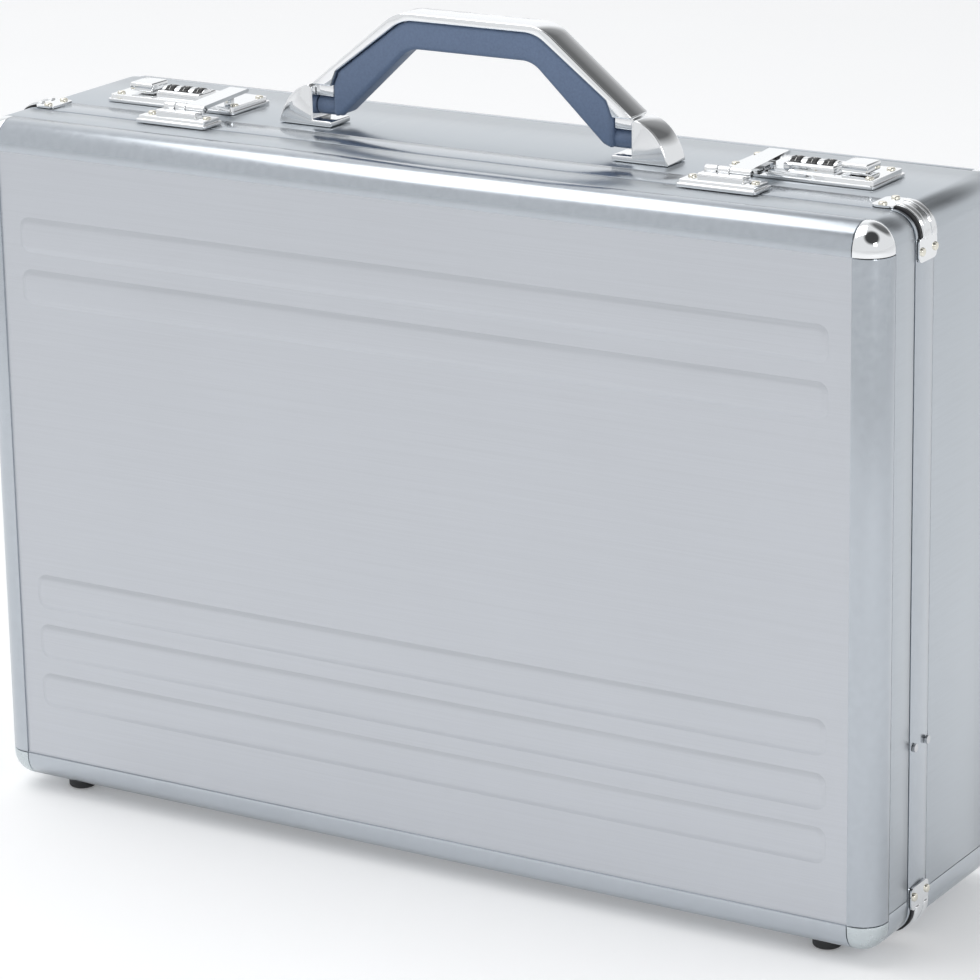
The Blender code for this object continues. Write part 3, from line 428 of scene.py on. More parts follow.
# %% Plastic, rubber and cloth
def moulded(name, colour, roughness, scale, depth, metallic=0.0, **sockets):
    """Moulded plastic or rubber: a fine leather-like texture from the mould."""
    finish, tree, shader = new_finish(name, colour, metallic, roughness, **sockets)
    texture = grain(tree, (scale, scale, scale), detail=3.0)
    tree.links.new(spread(tree, texture, roughness - 0.06, roughness + 0.1), shader.inputs["Roughness"])
    lighter = tuple(min(1.0, 1.18 * c + 0.004) for c in colour)
    tree.links.new(blend_colours(tree, texture, colour, lighter), shader.inputs["Base Color"])
    relief(tree, shader, texture, 0.3, depth * MM)
    return finish


GRIP_FINISH = moulded("slate_grip", (0.115, 0.165, 0.265), 0.42, 900.0, 0.02)
DIAL_FINISH = moulded("black_dial", (0.012, 0.012, 0.013), 0.28, 700.0, 0.005)
RUBBER_FINISH = moulded("black_rubber", (0.018, 0.018, 0.019), 0.62, 800.0, 0.03)
# Near black for the strip along each clamp's front edge: painted shade, not a real gasket.
SHADE_STRIP_FINISH = moulded("black_painted_shade", (0.01, 0.01, 0.012), 0.5, 800.0, 0.01)


def woven_lining(name, colour):
    """Lining cloth on board: two sets of fine threads crossing."""
    finish, tree, shader = new_finish(name, colour, 0.0, 0.85)
    place = tree.nodes.new("ShaderNodeTexCoord")
    heights = []
    for direction in ("X", "Z"):
        threads = tree.nodes.new("ShaderNodeTexWave")
        threads.bands_direction = direction
        threads.inputs["Scale"].default_value = 420.0
        threads.inputs["Distortion"].default_value = 1.2
        threads.inputs["Detail"].default_value = 1.0
        tree.links.new(place.outputs["Object"], threads.inputs["Vector"])
        heights.append(threads.outputs["Fac"])
    weave = sum_of(tree, heights[0], heights[1], 1.0)
    nap = grain(tree, (120.0, 120.0, 120.0))
    lighter = tuple(1.8 * c + 0.01 for c in colour)
    tree.links.new(blend_colours(tree, nap, colour, lighter), shader.inputs["Base Color"])
    relief(tree, shader, weave, 0.5, 0.12 * MM)
    return finish


CLOTH_FINISH = woven_lining("grey_cloth", (0.035, 0.036, 0.040))
print("soft finishes ready")


# %% Handing a piece over
def complete(item, body, finish, slot_name, *nodes, angle=32):
    """Shade a finished piece, give it its finish and hang it on its body in place of its nodes."""
    pick(item)
    bpy.ops.object.shade_smooth_by_angle(angle=math.radians(angle))
    item.data.materials.clear()
    item.data.materials.append(finish)
    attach(item, body)
    if nodes:
        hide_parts(*nodes)
    return item


print("hand-over ready")

# %% [markdown]
# ## The rounded shell
# On the real case, edge extrusions, corner caps, a rim band and thin sheet all lie flush on one
# rounded block. So one fine rounded block is made for each depth, the inner one is cut from the
# outer, and every piece is the part of that wall inside its own box. Its cut edges are broken by a
# small bevel, which is what makes the seams catch the light.

# %% Walls
ROUND_STEPS = 14


def rounded_case(inset):
    """The outside of the case, drawn in by an inset."""
    low = Vector((-HALF_X + inset, FRONT_Y + inset, LOW_Z + inset))
    high = Vector((HALF_X - inset, BACK_Y - inset, HIGH_Z - inset))
    return bevel(block("rounded_case", low, high), ROUND - inset, ROUND_STEPS)


def wall(outer, inner):
    return cut(rounded_case(outer), rounded_case(inner))


def reach_out(low, high):
    """A node's box, carried past the shell's faces where the node lies on them."""
    near, over = 0.1 * MM, 5.0 * MM
    low, high = Vector(low), Vector(high)
    for axis, bottom, top in ((0, -HALF_X, HALF_X), (1, FRONT_Y, BACK_Y), (2, LOW_Z, HIGH_Z)):
        if low[axis] < bottom + near:
            low[axis] -= over
        if high[axis] > top - near:
            high[axis] += over
    return low, high


def wall_piece(name, source, low, high, softened=0.25 * MM):
    """The part of a wall inside one box, with its cut edges broken."""
    piece = copy_of(source, name)
    combine(piece, block("region", *reach_out(low, high)), "INTERSECT")
    if softened:
        soften(piece, softened)
    return piece


extrusion_wall = wall(0.0, EXTRUSION)
sheet_wall = wall(0.0, SKIN)
print("walls:", len(extrusion_wall.data.polygons), "and", len(sheet_wall.data.polygons), "faces")

# %% [markdown]
# ## Edge extrusions and corner caps
# Round each big face run four bullnose extrusions, closed at the corners by pressed caps. The two
# top caps at the front are bright chrome. The others are satin like the extrusions.

# %% Edges and caps
FACES = {"front": ("lid", FRONT_Y, 1), "rear": ("body", BACK_Y, -1)}
for face, (body, plane, inward) in FACES.items():
    for edge in ("top", "bottom", "left", "right"):
        node = f"{face}_edge_{edge}"
        low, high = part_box(node)
        stop = plane + inward * EDGE_FACE
        if inward > 0:
            high.y = stop
        else:
            low.y = stop
        piece = wall_piece(f"{face}_bullnose_{edge}", extrusion_wall, low, high, 0.35 * MM)
        complete(piece, body, EDGE_FINISH, "satin_extrusion", node)
    for level in LEVELS:
        for side in SIDES:
            node = f"{face}_cap_{level}_{side}"
            piece = wall_piece(f"{face}_corner_{level}_{side}", extrusion_wall, *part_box(node), 0.3 * MM)
            complete(piece, body, CHROME if level == "top" else SATIN_CAP, "chrome", node)
print("edges and caps done")

# %% [markdown]
# ## Sheet, rim band and guide tongue
# The sides and top are thin sheet with a separate channel along the bottom. Between body and lid
# runs a stiffer rim band. A thin tongue on it guides the lid as it closes, and it is notched where
# the hasps reach over the rim.

# %% Sheet and band
for node, body in (("body_wrap", "body"), ("body_bottom", "body"),
                   ("lid_wrap", "lid"), ("lid_bottom", "lid")):
    piece = wall_piece(f"{node}_sheet", sheet_wall, *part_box(node), 0.2 * MM)
    complete(piece, body, WRAP_FINISH, "brushed_aluminium", node)

low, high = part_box("rim_band")
low.y, high.y = BAND_FRONT, BAND_REAR
band = wall_piece("rim_band_extrusion", extrusion_wall, low, high, 0.3 * MM)
tongue_wall = wall(1.5 * MM, EXTRUSION)
TONGUE_START = LOW_Z + 25.0 * MM
tongue = copy_of(tongue_wall, "guide_tongue")
tongue_low = Vector((-HALF_X, band_low.y, TONGUE_START))
tongue_high = Vector((HALF_X, BAND_FRONT + 0.5 * MM, HIGH_Z))
combine(tongue, block("region", *reach_out(tongue_low, tongue_high)), "INTERSECT")
for side in SIDES:
    hasp_low, hasp_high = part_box(f"hasp_{side}")
    notch_low = (hasp_low.x - 0.6 * MM, band_low.y - 1 * MM, HIGH_Z - 6 * MM)
    notch_high = (hasp_high.x + 0.6 * MM, BAND_FRONT + 0.01 * MM, HIGH_Z + 5 * MM)
    cut(tongue, block("notch", notch_low, notch_high))
gather(band, tongue)
complete(band, "body", EDGE_FINISH, "satin_extrusion", "rim_band")
print("sheet and band done")

# %% [markdown]
# ## The big panels
# Front and back are sheet in the grooves of the extrusions, stiffened by long pressed ribs: two
# near the top and three near the bottom. One rib is a low block whose face is inset and pushed
# out, which makes the sloped flank that catches a thin line of light. Its rim is then rounded.

# %% Panels with pressed ribs
RIB_HALF, RIB_TALL, RIB_SLOPE, RIB_CORNER = 206.0 * MM, 16.5 * MM, 2.0 * MM, 5.0 * MM
RIB_PITCH = 24.3 * MM
TOP_RIB, LOW_RIB = HIGH_Z - 51.3 * MM, LOW_Z + 47.1 * MM
RIB_HEIGHTS = [TOP_RIB, TOP_RIB - RIB_PITCH] + [LOW_RIB + step * RIB_PITCH for step in range(3)]
PANEL_STEP = 0.8 * MM


def pressed_rib(plane, outward, height):
    """A rib standing out of a panel's plane."""
    rib = block("rib", (-RIB_HALF, plane - outward * 0.9 * MM, height - RIB_TALL / 2),
                (RIB_HALF, plane + outward * 0.03 * MM, height + RIB_TALL / 2))
    bevel(rib, RIB_CORNER, 8, edges=lambda a, b: abs(a.y - b.y) > 0.5 * MM)
    edit_selected(rib, faces=lambda face: face.normal.y * outward > 0.9)
    bpy.ops.mesh.inset(thickness=RIB_SLOPE, depth=0.0)
    bpy.ops.transform.translate(value=(0.0, outward * (PANEL_STEP - 0.06 * MM), 0.0))
    bpy.ops.object.mode_set(mode="OBJECT")
    top = plane + outward * (PANEL_STEP - 0.03 * MM)
    bevel(rib, 0.9 * MM, 4, edges=lambda a, b: abs(a.y - top) < 0.01 * MM and abs(b.y - top) < 0.01 * MM)
    return rib


for face, node, body, outward in (("front", "front_panel", "lid", -1), ("rear", "back_panel", "body", 1)):
    low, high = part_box(node)
    plane = (FRONT_Y if outward < 0 else BACK_Y) - outward * PANEL_STEP
    panel = block(f"{face}_panel_sheet", (low.x, plane, low.z), (high.x, plane - outward * SKIN, high.z))
    for height in RIB_HEIGHTS:
        join(panel, pressed_rib(plane, outward, height))
    complete(panel, body, PANEL_FINISH, "brushed_aluminium", node, angle=14)
print("panels done:", len(RIB_HEIGHTS), "ribs each")

# %% [markdown]
# ## Rivets and corner clamps
# A pressed clamp wraps each corner of the rim band. It is set with domed rivets and stiffened by
# two beads. A thin black strip along its front edge is painted shade, where the clamp's edge shades
# the band. The clamp is a slice of a slightly larger rounded block, modelled once at the top right
# and mirrored to the other corners.


# %% Rivets
def rivet(name, foot, radius, height, direction):
    """A domed rivet head standing on a face. direction is the face's normal."""
    direction = Vector(direction)
    axis = "XYZ"[max(range(3), key=lambda index: abs(direction[index]))]
    head = rod(name, Vector(foot) + direction * height / 2, radius, height, axis, 28)
    crown = Vector(foot) + direction * height
    bevel(head, min(height, radius) * 0.75, 4,
          edges=lambda a, b: all(abs((end - crown).dot(direction)) < 1e-6 for end in (a, b)))
    return head


CLAMP_GAP, CLAMP_SHEET, CLAMP_REACH = 0.3 * MM, 1.0 * MM, 21.5 * MM
CLAMP_BEND = ROUND + 2 * CLAMP_GAP
RIVET_RADIUS, RIVET_HEAD = 1.9 * MM, 1.0 * MM
RIVET_REACH = 17.0 * MM
RIVET_ROWS = (BAND_FRONT + 3.2 * MM, BAND_FRONT + 15.0 * MM)
print("rivet rows at", [round(y / MM, 2) for y in RIVET_ROWS], "mm")

# %% Clamps
MIDDLE_Z = (LOW_Z + HIGH_Z) / 2


def corner_slice(name, outer, inner, start, end, bend=CLAMP_BEND):
    """The bend of a strip over the top right corner between two depths along Y."""
    strip = wall(outer, inner)
    strip.name = name
    low = Vector((HALF_X - bend, start, HIGH_Z - bend))
    high = Vector((HALF_X + 9 * MM, end, HIGH_Z + 9 * MM))
    return combine(strip, block("region", low, high), "INTERSECT")


def clamp_at_top_right():
    front, rear = BAND_FRONT + CLAMP_GAP, BAND_REAR
    out = CLAMP_GAP + CLAMP_SHEET
    strip = corner_slice("corner_clamp", -out, -CLAMP_GAP, front + 3.2 * MM, rear)
    pad_top = block("pad", (HALF_X - CLAMP_REACH, front, HIGH_Z + CLAMP_GAP),
                    (HALF_X - CLAMP_BEND + 1 * MM, rear, HIGH_Z + out))
    pad_side = block("pad", (HALF_X + CLAMP_GAP, front, HIGH_Z - CLAMP_REACH),
                     (HALF_X + out, rear, HIGH_Z - CLAMP_BEND + 1 * MM))
    for pad, tall in ((pad_top, "z"), (pad_side, "x")):
        bevel(pad, 2.5 * MM, 5, edges=lambda a, b: abs(getattr(a - b, tall)) > 0.5 * MM)
    join(strip, pad_top, pad_side)
    soften(strip, 0.25 * MM, 3)
    for start in (front + 4.2 * MM, rear - 4.6 * MM):
        bead = corner_slice("bead", -out - 0.6 * MM, -out + 0.4 * MM, start, start + 3.2 * MM)
        gather(strip, soften(bead, 0.55 * MM, 4))
    return strip


def clamp_rivets():
    heads = []
    out = CLAMP_GAP + CLAMP_SHEET - 0.05 * MM
    for row in RIVET_ROWS:
        for place, facing in (((HALF_X - RIVET_REACH, row, HIGH_Z + out), (0, 0, 1)),
                              ((HALF_X + out, row, HIGH_Z - RIVET_REACH), (1, 0, 0))):
            heads.append(rivet("rivet", place, RIVET_RADIUS, RIVET_HEAD, facing))
    return gather(heads[0], *heads[1:])


def clamp_gasket():
    # Painted shade: a thin black arc along the clamp's front edge, where the edge throws its shade.
    front = BAND_FRONT + CLAMP_GAP + 2.0 * MM
    arc = corner_slice("corner_shade_strip", -1.0 * MM, -0.05 * MM, front, front + 1.15 * MM)
    return soften(arc, 0.2 * MM)


first_clamp, first_rivets, first_shade_strip = clamp_at_top_right(), clamp_rivets(), clamp_gasket()
for level, up in LEVELS.items():
    for side, across in SIDES.items():
        corner = f"{level}_{side}"
        clamp = flipped(first_clamp, f"clamp_{corner}", across, up, MIDDLE_Z)
        complete(clamp, "body", CHROME, "chrome", f"rim_clamp_{corner}")
        heads = flipped(first_rivets, f"clamp_rivets_{corner}", across, up, MIDDLE_Z)
        complete(heads, "body", NICKEL, "chrome")
        # The black strip at each clamp's front edge is painted shade.
        arc = flipped(first_shade_strip, f"clamp_gasket_{corner}", across, up, MIDDLE_Z)
        complete(arc, "body", SHADE_STRIP_FINISH, "black_plastic")
for spare in (first_clamp, first_rivets, first_shade_strip):
    bpy.data.objects.remove(spare, do_unlink=True)
print("clamps done")

# %% [markdown]
# ## The handle
# A chrome strap bends over a slate-blue grip, and both turn on pins in two cast brackets. Seen
# from the front all three are flat outlines with round bends, so they are drawn as outlines, made
# plates and then softened: hardly at all on the strap, deeply on the grip.

# %% Handle measures
strap_low, strap_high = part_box("handle_strap")
grip_low, grip_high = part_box("handle_grip")
HANDLE_Y = (strap_low.y + strap_high.y) / 2
SPAN = strap_high.x
STRAP_TOP = strap_high.z
PIVOT_Z = HIGH_Z + 9.0 * MM
FOOT_RADIUS = 4.4 * MM
ANKLE = SPAN - 9.6 * MM
FLAT_HALF = 30.0 * MM
GAP = 0.3 * MM
print("handle span", round(2 * SPAN / MM, 1), "mm, top", round(STRAP_TOP / MM, 1), "mm")


# %% Strap
def both_halves(half):
    """A closed outline from its right half. Each point is (across, up, radius)."""
    return [(-x, z, r) for x, z, r in reversed(half)] + list(half)


STRAP_FOOT_TOP = PIVOT_Z + 11.0 * MM
STRAP_FOOT_END = PIVOT_Z + FOOT_RADIUS + GAP
NARROW_BELOW = PIVOT_Z + 9.9 * MM
GRIP_KNEE = Vector((SPAN - 12.7 * MM, PIVOT_Z + 17.0 * MM))
strap_half = [(FLAT_HALF + 7.0 * MM, STRAP_TOP, 20 * MM), (SPAN, STRAP_FOOT_TOP, 0.0),
              (SPAN, NARROW_BELOW, 0.0)]
inner_half = [(FLAT_HALF + 4.0 * MM, STRAP_TOP - 3.4 * MM, 17 * MM), (GRIP_KNEE.x + GAP, GRIP_KNEE.y, 3 * MM),
              (ANKLE, NARROW_BELOW, 0.0)]
strap_outline = rounded(both_halves(strap_half) + list(reversed(both_halves(inner_half))))
strap = plate("handle_strap_chrome", strap_outline, strap_high.y - strap_low.y, (0.0, HANDLE_Y, 0.0))
soften(strap, 0.8 * MM, 3, angle=60)
for side, across in SIDES.items():
    ankle = block("ankle", (across * ANKLE, HANDLE_Y - 5 * MM, STRAP_FOOT_END),
                  (across * SPAN, HANDLE_Y + 5 * MM, NARROW_BELOW + 0.9 * MM))
    gather(strap, bevel(ankle, 0.6 * MM, 3))
complete(strap, "handle", CHROME, "chrome", "handle_strap")
print("strap faces:", len(strap.data.polygons))

# %% Grip
GRIP_TOP = STRAP_TOP - 3.7 * MM
GRIP_UNDER = HIGH_Z + 39.2 * MM
toe_low = PIVOT_Z - FOOT_RADIUS
shin = ANKLE - GAP
grip_half = [(FLAT_HALF + 4.0 * MM, GRIP_TOP, 16.5 * MM), (GRIP_KNEE.x, GRIP_KNEE.y, 5 * MM),
             (shin, PIVOT_Z + 10.5 * MM, 0.0), (shin, toe_low, 0.0),
             (shin - 5.0 * MM, toe_low + 2.0 * MM, 3 * MM), (FLAT_HALF + 1.5 * MM, GRIP_UNDER, 13 * MM)]
grip = plate("handle_grip_moulding", rounded(both_halves(grip_half)), grip_high.y - grip_low.y,
             (0.0, HANDLE_Y, 0.0))
soften(grip, 2.2 * MM, 5, angle=50)
for side, across in SIDES.items():
    toe_start, toe_end = shin - 2.0 * MM, SPAN
    toe = rod("toe", (across * (toe_start + toe_end) / 2, HANDLE_Y, PIVOT_Z), FOOT_RADIUS,
              toe_end - toe_start, sides=48)
    bevel(toe, 0.5 * MM, 3, edges=lambda a, b: abs(a.x - b.x) < 1e-6)
    join(grip, toe)
complete(grip, "handle", GRIP_FINISH, "slate_grip", "handle_grip")
print("grip faces:", len(grip.data.polygons))

# %% [markdown]
# The brackets are cast fins: a flat sole under the pivot, an upright cheek with the pin, and a
# curved back that sweeps down to the case. The curve is a quadratic Bezier between three points.

# %% Brackets
bracket_low, bracket_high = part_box("handle_bracket_right")
CHEEK = SPAN + GAP


def curved_back(start, middle, end, steps=10):
    points = []
    for step in range(steps + 1):
        t = step / steps
        points.append(start * (1 - t) ** 2 + middle * (2 * t * (1 - t)) + end * t ** 2)
    return points


def bracket_at_right():
    heel = bracket_high.x
    sole = HIGH_Z + 2.9 * MM
    base = HIGH_Z + GAP
    crown = Vector((CHEEK + 2.0 * MM, bracket_high.z))
    bulge = Vector((heel - 4.0 * MM, bracket_high.z - 3.0 * MM))
    back = curved_back(crown, bulge, Vector((heel, base)))
    outline = back[:]
    outline += [Vector((bracket_low.x, base)), Vector((bracket_low.x, sole)), Vector((CHEEK, sole)),
                Vector((CHEEK, bracket_high.z - 1.2 * MM))]
    fin = plate("bracket", outline, bracket_high.y - bracket_low.y, (0.0, HANDLE_Y, 0.0))
    soften(fin, 0.7 * MM, 4, angle=42)
    pin = rod("pin", (CHEEK - 3.0 * MM, HANDLE_Y, PIVOT_Z), 1.8 * MM, 8.0 * MM, sides=32)
    return gather(fin, pin)


first_bracket = bracket_at_right()
for side, across in SIDES.items():
    twin = flipped(first_bracket, f"handle_bracket_cast_{side}", across)
    complete(twin, "body", CHROME, "chrome", f"handle_bracket_{side}")
bpy.data.objects.remove(first_bracket, do_unlink=True)
print("brackets done")

# %% [markdown]
# ## The locks
# Each lock is a riveted base on the body with three number dials and a release button. The dials
# are black, with round chrome collars between them. The right lock is modelled and mirrored.

# %% Lock base
base_low, base_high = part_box("lock_base_right")
HOUSING = (150.6 * MM, 174.4 * MM)
DIALS = [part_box(f"dial_right_{number}") for number in (1, 2, 3)]
DIAL_Y = (DIALS[0][0].y + DIALS[0][1].y) / 2
DIAL_Z = (DIALS[0][0].z + DIALS[0][1].z) / 2
DIAL_RADIUS = (DIALS[0][1].y - DIALS[0][0].y) / 2
PLATE_TOP = HIGH_Z + 3.5 * MM


def lock_base_at_right():
    flange = block("base", base_low, (base_high.x, base_high.y, HIGH_Z + 1.5 * MM))
    bevel(flange, 2.0 * MM, 5, edges=lambda a, b: abs(a.z - b.z) > 0.5 * MM)
    step = 1.1 * MM
    upper = block("upper", (base_low.x + step, base_low.y + step, HIGH_Z + 1.0 * MM),
                  (base_high.x - step, base_high.y - step, PLATE_TOP))
    bevel(upper, 1.4 * MM, 5, edges=lambda a, b: abs(a.z - b.z) > 0.5 * MM)
    join(flange, upper)
    channel_mid = (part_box("latch_flap_right")[0].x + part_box("latch_flap_right")[1].x) / 2
    hook = block("channel", (channel_mid - CHANNEL_HALF, base_low.y - 2 * MM, HIGH_Z + 1.3 * MM),
                 (channel_mid + CHANNEL_HALF, 6.6 * MM, PLATE_TOP + 2 * MM))
    slot = block("slot", (179.5 * MM, DIAL_Y - 2.3 * MM, HIGH_Z + 1 * MM),
                 (189.1 * MM, DIAL_Y + 2.3 * MM, PLATE_TOP + 2 * MM))
    cut(flange, hook, slot)
    soften(flange, 0.3 * MM, 3)
    housing = block("housing", (HOUSING[0], DIAL_Y - 7 * MM, HIGH_Z + 1 * MM),
                    (HOUSING[1], DIAL_Y + 7 * MM, HIGH_Z + 6.0 * MM))
    bevel(housing, 1.2 * MM, 4, edges=lambda a, b: min(a.z, b.z) > HIGH_Z + 5 * MM)
    for low, high in DIALS:
        room = DIAL_RADIUS + 0.4 * MM
        cut(housing, block("slot", (low.x - GAP, DIAL_Y - room, HIGH_Z - 2 * MM),
                           (high.x + GAP, DIAL_Y + room, HIGH_Z + 9 * MM)))
    soften(housing, 0.2 * MM, 2)
    return gather(flange, housing)


def lock_collars():
    """Round chrome collars between the dials and at both ends, on one spindle."""
    edges = [HOUSING[0] + 0.3 * MM]
    for low, high in DIALS:
        edges += [low.x - 0.15 * MM, high.x + 0.15 * MM]
    edges.append(HOUSING[1] - 0.3 * MM)
    collars = []
    for start, end in zip(edges[0::2], edges[1::2]):
        collar = rod("collar", ((start + end) / 2, DIAL_Y, DIAL_Z), DIAL_RADIUS - 0.25 * MM,
                     end - start, sides=48)
        bevel(collar, 0.5 * MM, 3, edges=lambda a, b: abs(a.x - b.x) < 1e-6)
        collars.append(collar)
    spindle_length = HOUSING[1] - HOUSING[0] - 2 * MM
    collars.append(rod("spindle", ((HOUSING[0] + HOUSING[1]) / 2, DIAL_Y, DIAL_Z), 0.8 * MM, spindle_length))
    return gather(collars[0], *collars[1:])


def lock_rivets():
    heads = [rivet("rivet", (x * MM, y * MM, PLATE_TOP - 0.05 * MM), RIVET_RADIUS, RIVET_HEAD, (0, 0, 1))
             for x in LOCK_RIVET_X for y in LOCK_RIVET_Y]
    return gather(heads[0], *heads[1:])


LOCK_PIECES = {"lock_plate": (lock_base_at_right(), CHROME), "dial_collars": (lock_collars(), CHROME),
               "lock_rivets": (lock_rivets(), NICKEL)}
for name, (piece, finish) in LOCK_PIECES.items():
    for side, across in SIDES.items():
        twin = flipped(piece, f"{name}_{side}", across)
        nodes = [f"lock_base_{side}"] if name == "lock_plate" else []
        complete(twin, "body", finish, "chrome", *nodes)
    bpy.data.objects.remove(piece, do_unlink=True)
print("lock bases done")

# %% [markdown]
# A number dial is a short cylinder with ten shallow finger notches pressed into its rim, where the
# spaces between the numbers are. The numbers are raised white figures, made from text.

# %% Dials
DIGITS = 10
NOTCH = 0.55 * MM


def dial_wheel(name, low, high):
    middle = Vector(((low.x + high.x) / 2, DIAL_Y, DIAL_Z))
    width = high.x - low.x
    wheel = rod(name, middle, DIAL_RADIUS, width, sides=60)
    bevel(wheel, 0.35 * MM, 3, edges=lambda a, b: abs(a.x - b.x) < 1e-6)
    bore = rod("bore", middle, 1.1 * MM, width + 2 * MM, sides=24)
    cut(wheel, bore)
    cutters = []
    for step in range(DIGITS):
        angle = math.tau * (step + 0.5) / DIGITS
        spot = middle + Vector((0.0, math.cos(angle), math.sin(angle))) * (DIAL_RADIUS + NOTCH * 0.35)
        cutters.append(rod("notch", spot, NOTCH, width + 2 * MM, sides=10))
    cut(wheel, gather(cutters[0], *cutters[1:]))
    return wheel


def dial_figures(name, low, high):
    """The numbers 0 to 9 round a dial, standing a hair above its rim."""
    middle_x = (low.x + high.x) / 2
    figures = []
    for number in range(DIGITS):
        deselect()
        bpy.ops.object.text_add(location=(0.0, 0.0, 0.0))
        text = bpy.context.active_object
        text.data.body = str(number)
        text.data.size = FIGURE_SIZE
        text.data.align_x = "CENTER"
        text.data.align_y = "CENTER"
        text.data.extrude = FIGURE_RELIEF
        text.data.resolution_u = 2
        bpy.ops.object.convert(target="MESH")
        text = bpy.context.active_object
        angle = math.tau * number / DIGITS
        turn = Matrix.Rotation(angle, 4, "X")
        stand = Matrix.Translation((middle_x, DIAL_Y, DIAL_Z))
        text.matrix_world = stand @ turn @ Matrix.Translation((0.0, 0.0, DIAL_RADIUS - FIGURE_SINK))
        settle(text)
        figures.append(text)
    merged = gather(figures[0], *figures[1:])
    merged.name = name
    edit_selected(merged, faces=lambda face: True)
    bpy.ops.mesh.remove_doubles(threshold=0.001 * MM)
    bpy.ops.object.mode_set(mode="OBJECT")
    return merged


FIGURE_FINISH = moulded("white_figures", (0.72, 0.72, 0.70), 0.5, 900.0, 0.002)
first_wheel = dial_wheel("wheel", *DIALS[0])
first_figures = dial_figures("figures", *DIALS[0])
first_low, first_high = DIALS[0]
for side in SIDES:
    for number in (1, 2, 3):
        low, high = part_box(f"dial_{side}_{number}")
        shift = Vector(((low.x + high.x - first_low.x - first_high.x) / 2, 0.0, 0.0))
        for source, kind, finish in ((first_wheel, "wheel", DIAL_FINISH),
                                     (first_figures, "figures", FIGURE_FINISH)):
            twin = copy_of(source, f"dial_{kind}_{side}_{number}")
            twin.location = shift
            settle(twin)
            nodes = [f"dial_{side}_{number}"] if kind == "wheel" else []
            complete(twin, f"number_{side}_{number}", finish, "black_plastic", *nodes)
bpy.data.objects.remove(first_wheel, do_unlink=True)
bpy.data.objects.remove(first_figures, do_unlink=True)
print("dials done")

# %% [markdown]
# The release button is a polished slab on a narrow stem, with a dark gap under it.


# %% Buttons
def button_at_right():
    low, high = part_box("release_button_right")
    foot = PLATE_TOP + 0.8 * MM
    slab = block("slab", (low.x, low.y, foot), high)
    bevel(slab, 0.9 * MM, 4)
    stem = block("stem", (STEM_START, DIAL_Y - 2 * MM, HIGH_Z + 1.3 * MM),
                 (STEM_END, DIAL_Y + 2 * MM, foot + 1 * MM))
    return join(slab, stem)


first_button = button_at_right()
for side, across in SIDES.items():
    twin = flipped(first_button, f"button_{side}", across)
    complete(twin, f"button_{side}", CHROME, "chrome", f"release_button_{side}")
bpy.data.objects.remove(first_button, do_unlink=True)
print("buttons done")

# %% [markdown]
# ## Hasps and flaps
# On the lid side, a stepped plate is clipped over the edge of the wall and carries a small barrel
# hinge. The flap turns on it and lies back over the lock. Both locks use the same hasp, not a
# mirrored one, so the flap is at the right-hand end of both.

# %% Hasp
hasp_low, hasp_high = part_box("hasp_right")
flap_low, flap_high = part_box("latch_flap_right")
HASP_X = (hasp_low.x + hasp_high.x) / 2
BARREL_Y, BARREL_Z, BARREL_RADIUS = -21.2 * MM, HIGH_Z + 5.8 * MM, 2.0 * MM
LID_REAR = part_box("lid_wrap")[1].y
HASP_FRONT, HASP_REAR = -35.5 * MM, -20.8 * MM
TIER = 1.6 * MM


def hasp_at_right():
    base = HIGH_Z + GAP
    plate_low = block("hasp", (hasp_low.x, HASP_FRONT, base), (hasp_high.x, HASP_REAR, base + TIER))
    bevel(plate_low, 1.2 * MM, 4, edges=lambda a, b: abs(a.z - b.z) > 0.5 * MM)
    step = 1.2 * MM
    tier = block("tier", (hasp_low.x + step, HASP_FRONT + step, base + TIER / 2),
                 (hasp_high.x - step, HASP_REAR - step, base + 2 * TIER))
    clip = block("clip", (hasp_low.x + step, LID_REAR + GAP, HIGH_Z - 2.3 * MM),
                 (hasp_high.x - step, LID_REAR + GAP + 0.8 * MM, base + TIER / 2))
    join(plate_low, tier, clip)
    soften(plate_low, 0.25 * MM, 3)
    back = BARREL_Y - BARREL_RADIUS - 0.6 * MM
    riser = block("riser", (HASP_X - 12 * MM, back - 5.5 * MM, base + 2 * TIER - 0.5 * MM),
                  (flap_high.x, back, BARREL_Z - 0.2 * MM))
    soften(riser, 0.6 * MM, 4)
    spans = ((HASP_X - 12 * MM, HASP_X - 6 * MM), (HASP_X - 5.7 * MM, flap_low.x - GAP))
    pieces = [riser]
    for start, end in spans:
        web = block("web", (start + 0.2 * MM, back - 0.5 * MM, base + 2 * TIER - 0.4 * MM),
                    (end - 0.2 * MM, BARREL_Y, BARREL_Z - 0.4 * MM))
        knuckle = rod("knuckle", ((start + end) / 2, BARREL_Y, BARREL_Z), BARREL_RADIUS,
                      end - start, sides=40)
        bevel(knuckle, 0.35 * MM, 3, edges=lambda a, b: abs(a.x - b.x) < 1e-6)
        pieces += [web, knuckle]
    pieces.append(rod("pin", (HASP_X - 1.5 * MM, BARREL_Y, BARREL_Z), 0.9 * MM, 19 * MM, sides=24))
    return gather(plate_low, *pieces)


def hasp_rivets():
    heads = [rivet("rivet", (HASP_X + reach * 15 * MM, -27.5 * MM, HIGH_Z + 3.45 * MM), RIVET_RADIUS,
                   RIVET_HEAD, (0, 0, 1)) for reach in (-1, 1)]
    return gather(heads[0], heads[1])


